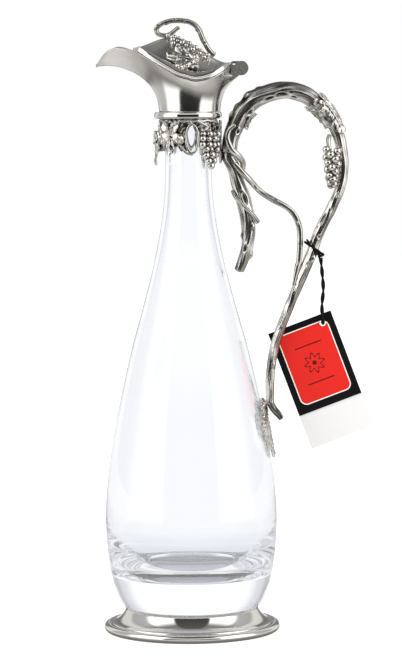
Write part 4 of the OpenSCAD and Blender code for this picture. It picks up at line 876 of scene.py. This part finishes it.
round_ring = np.radians(95 + 350 * np.arange(17) / 16)
rods = [
    [(-83 + 10.5 * np.cos(a), pierced_h * (0.5 - 0.36 * np.sin(a)), 1.0) for a in round_ring],
    [(a, pierced_h * h, s) for a, h, s in ((-104, 0.66, 0.7), (-98, 0.78, 1), (-91, 0.87, 1), (-82, 0.9, 0.9))],
    [(-106 + 8.6 * k, tendril_r + 0.12 + 0.5 * (k % 2), 0.85 + 0.15 * (k % 2)) for k in range(9)],
    [(-88, 1.2, 1), (-86, 2.0, 1), (-83, pierced_h * 0.14, 0.9)],
    [(-73, 1.2, 1), (-67, 2.2, 1), (-60, 3.4, 1), (-54, 4.4, 0.8)],
    [(-46, 1.2, 1), (-38, 1.7, 1), (-26, 3, 1), (-17.6, 6.4, 1), (-16.6, 10.4, 0.8)]]
for name, sign in (("front", 1), ("rear", -1)):
    grids, tones = [], []
    for k, rod in enumerate(rods):
        points = [on_sleeve(*q, sign) for q in rod]
        g, m = tube(points, 12 * len(rod), 14, bark(0.2, 31 + k, 3), (0, 0, 1) if k == 2 else (0.3, -sign, 0.2))
        grids.append(g)
        tones.append(m)
    in_dark("collar_vine_" + name, grids, tones, lift=0.2)

# ------------------------------------------------------------------ cord
# Black cotton cord of two strands twisted together, looped round the stem, knotted and passed through
# the tag. Each strand is about 1.2 mm thick. Cotton is dull, with a fuzz that catches little light.
cotton, t = material("black twisted cotton")
fuzz = add(t, "TexNoise", {"Vector": add(t, "TexCoord")["Object"], "Scale": 2600.0, "Detail": 3.0})[0]
colour = add(t, "ValToRGB", [fuzz], [(0.3, "#040405"), (0.75, "#151516")])[0]
bump = add(t, "Bump", {"Height": fuzz, "Strength": 0.6, "Distance": 0.1 * MM})[0]
add(t, "OutputMaterial", [add(t, "BsdfPrincipled", {
    "Base Color": colour, "Roughness": 0.85, "Specular IOR Level": 0.25, "Normal": bump})[0]])
strand_r = 0.6


def twist(path, rings, pitch, offset, ref):
    """Two strands wound round the path: each strand's centre circles it once in every pitch."""
    p = curve(path, np.linspace(0, 1, rings))[:, :3]
    _, side, other, run = carried(p, ref)
    grids, tones = [], []
    for k in (0, np.pi):
        a = (2 * np.pi * run / pitch + k)[:, None]
        c = p + offset * (np.cos(a) * side + np.sin(a) * other)
        g, m = tube(np.column_stack([c, np.full(rings, strand_r)]), rings * 2, 14, ref=ref)
        grids.append(g)
        tones.append(m)
    return grids, tones


knot = np.array([75.73, 0, 217.72])
hole = knot + [1.3, 0, -40]
fall = [(75.83, 0.2, 215.73), (76.63, 0.9, 207.72), (77.33, 1.6, 197.72), (76.53, 2.1, 187.72),
        (77.03, 2.5, 180.14), (77.03, 3.4, 178.27), (77.03, 4.8, 177.72), (77.03, 6.3, 177.72)]
grids, tones = twist(fall, 160, 15, 0.58, (1, 0.2, 0))
cord = piece("cord", grids, cotton, "tag", ["tag_cord"], tones)
# the loop lies square to the stem; it is an open oval whose gap is at the knot
loop_mid, loop_way, loop_w, loop_d = np.array([71.5, 0, 221.7]), np.array([0.7237, 0, -0.6901]), 5.576, 4.35
a = np.radians(30 + 300 * np.arange(15) / 14)[:, None]
loop = loop_mid + loop_way * loop_w * np.cos(a) - np.array([0, 1, 0]) * loop_d * np.sin(a)
grids, tones = twist(loop, 110, 26, 0.85, (0.69, 0, 0.72))
band = piece("cord_loop", grids, cotton, "jug", ["tag_loop"], tones)
a = np.linspace(0, 2 * np.pi, 60)[:, None]
wrap = knot + np.concatenate([1.15 * np.cos(a) + 0.5 * np.cos(2 * a), 1.1 * np.sin(2 * a),
                              1.15 * np.sin(a) - 0.3 * np.sin(2 * a)], 1)
g, m = tube(np.column_stack([wrap, np.full(60, 0.72)]), 150, 14, ref=(0.3, 0.2, 1))
tie = piece("cord_knot", [g], cotton, "jug", ["tag_knot"], [m])

# ------------------------------------------------------------------ swing tag
# Two coated cards: a dark one printed with a plain red panel inside a white line, and a longer pale one
# behind it. They hang on the cord by a punched hole.
tilt = np.radians(20.4)
tag_w, card_h, card_t, tag_y = 38.6, 51.2, 0.5, 4.4
hole_in, hole_down, hole_r = 6.8, 5.3, 1.8      # the hole from the card's right and upper edge; its radius
panel_x, panel_z, panel_w, panel_h = -12.5, -19.8, 11.5, 17.5        # centre and half sizes of the red panel

# The card is a grid from the hole's edge to the card's edge, whose corners are moved onto its corners.
x0, x1, z0, z1 = hole_in - tag_w, hole_in, hole_down - card_h, hole_down
a = np.linspace(0, 2 * np.pi, 241)
for corner in [(x, z) for x in (x0, x1) for z in (z0, z1)]:
    way = np.arctan2(corner[1], corner[0])
    a[np.argmin(np.abs(np.mod(a - way + np.pi, 2 * np.pi) - np.pi))] = np.mod(way, 2 * np.pi)
c, s = np.cos(a), np.sin(a)
far = np.minimum(np.where(c > 0, x1, -x0) / np.maximum(np.abs(c), 1e-9),
                 np.where(s > 0, z1, -z0) / np.maximum(np.abs(s), 1e-9))
r = hole_r + (far - hole_r) * np.linspace(0, 1, 24)[:, None] ** 1.3
x, z = r * c, r * s
x[:, -1], z[:, -1] = x[:, 0], z[:, 0]
bow = 0.12 * np.sin(np.pi * np.clip((x - x0) / tag_w, 0, 1)) * np.clip(-z / 60, 0, 1)
near = np.stack([hole[0] + x * np.cos(tilt) - z * np.sin(tilt), tag_y - bow,
                 hole[2] + x * np.sin(tilt) + z * np.cos(tilt)], -1)
back = near + [0, card_t, 0]


def board(name, paint):
    """Coated card: a faint satin with a very fine grain."""
    m, t = material(name)
    place = add(t, "TexCoord")["Object"]
    grain = add(t, "TexNoise", {"Vector": place, "Scale": 1800.0, "Detail": 2.0})[0]
    bump = add(t, "Bump", {"Height": grain, "Strength": 0.15, "Distance": 0.04 * MM})[0]
    add(t, "OutputMaterial", [add(t, "BsdfPrincipled", {
        "Base Color": paint(t, place, grain), "Roughness": 0.45, "Specular IOR Level": 0.2, "Normal": bump})[0]])
    return m


def print_on(t, place, grain):
    """The dark card's print: the distance from an upright rectangle decides red, white line or dark, and a
    plain rosette stands between two rules in the middle of the red."""
    flat = add(t, "Mapping", {0: place, 1: tuple(-hole * MM), 3: (1, 0, 1)}, vector_type="POINT")[0]
    turned = add(t, "VectorRotate", {"Vector": flat, "Angle": tilt}, rotation_type="Y_AXIS")[0]
    middle = add(t, "VectorMath", [turned, (panel_x * MM, 0, panel_z * MM)], operation="SUBTRACT")[0]
    size = add(t, "VectorMath", [middle], operation="ABSOLUTE")[0]
    past = add(t, "VectorMath", [size, (panel_w * MM, 0, panel_h * MM)], operation="SUBTRACT")[0]
    past = add(t, "VectorMath", [past, (0, 0, 0)], operation="MAXIMUM")[0]
    d = add(t, "VectorMath", [past], operation="LENGTH")["Value"]
    line = add(t, "Math", [d, 4.1 * MM], operation="LESS_THAN")[0]
    field = add(t, "Math", [d, 3.5 * MM], operation="LESS_THAN")[0]
    # eight petals: the ring's radius swings with the angle round the middle
    m = add(t, "SeparateXYZ", [middle])
    away = add(t, "VectorMath", [middle], operation="LENGTH")["Value"]
    angle = add(t, "Math", [add(t, "Math", [m[2], m[0]], operation="ARCTAN2")[0], 8.0], operation="MULTIPLY")[0]
    petal = add(t, "Math", [angle], operation="COSINE")[0]
    petal = add(t, "Math", [petal, 1.2 * MM, 4.6 * MM], operation="MULTIPLY_ADD")[0]
    rose = add(t, "Math", [away, petal, 0.45 * MM], operation="COMPARE")[0]
    core = add(t, "Math", [away, 1.3 * MM], operation="LESS_THAN")[0]
    m = add(t, "SeparateXYZ", [size])
    level = add(t, "Math", [m[2], 11.0 * MM, 0.35 * MM], operation="COMPARE")[0]
    short = add(t, "Math", [m[0], 8.0 * MM], operation="LESS_THAN")[0]
    rule = add(t, "Math", [level, short], operation="MULTIPLY")[0]
    ink = add(t, "Math", [add(t, "Math", [rose, core], operation="MAXIMUM")[0], rule], operation="MAXIMUM")[0]
    red = add(t, "ValToRGB", [grain], [(0.3, "#d9221a"), (0.7, "#e0281e")])[0]
    red = add(t, "Mix", {0: ink, 6: red, 7: tint("#5a120c")}, data_type="RGBA")[2]
    base = add(t, "Mix", {0: line, 6: tint("#0d0c0e"), 7: tint("#f4efe9")}, data_type="RGBA")[2]
    return add(t, "Mix", {0: field, 6: base, 7: red}, data_type="RGBA")[2]


def pale(t, place, grain):
    """The pale card's colour: a warm off-white, hardly varied by the grain."""
    return add(t, "ValToRGB", [grain], [(0.3, "#e4e2e0"), (0.7, "#eae8e6")])[0]


grids = [near, back[::-1], np.stack([near[-1], back[-1]]), np.stack([near[0], back[0]])]
front_card = piece("tag_card", grids, board("dark coated card", print_on), "tag", ["tag_front"])
front_card.data.polygons.foreach_set("use_smooth", np.zeros(len(front_card.data.polygons), bool))
coat(board("pale card", pale), "tag_back")
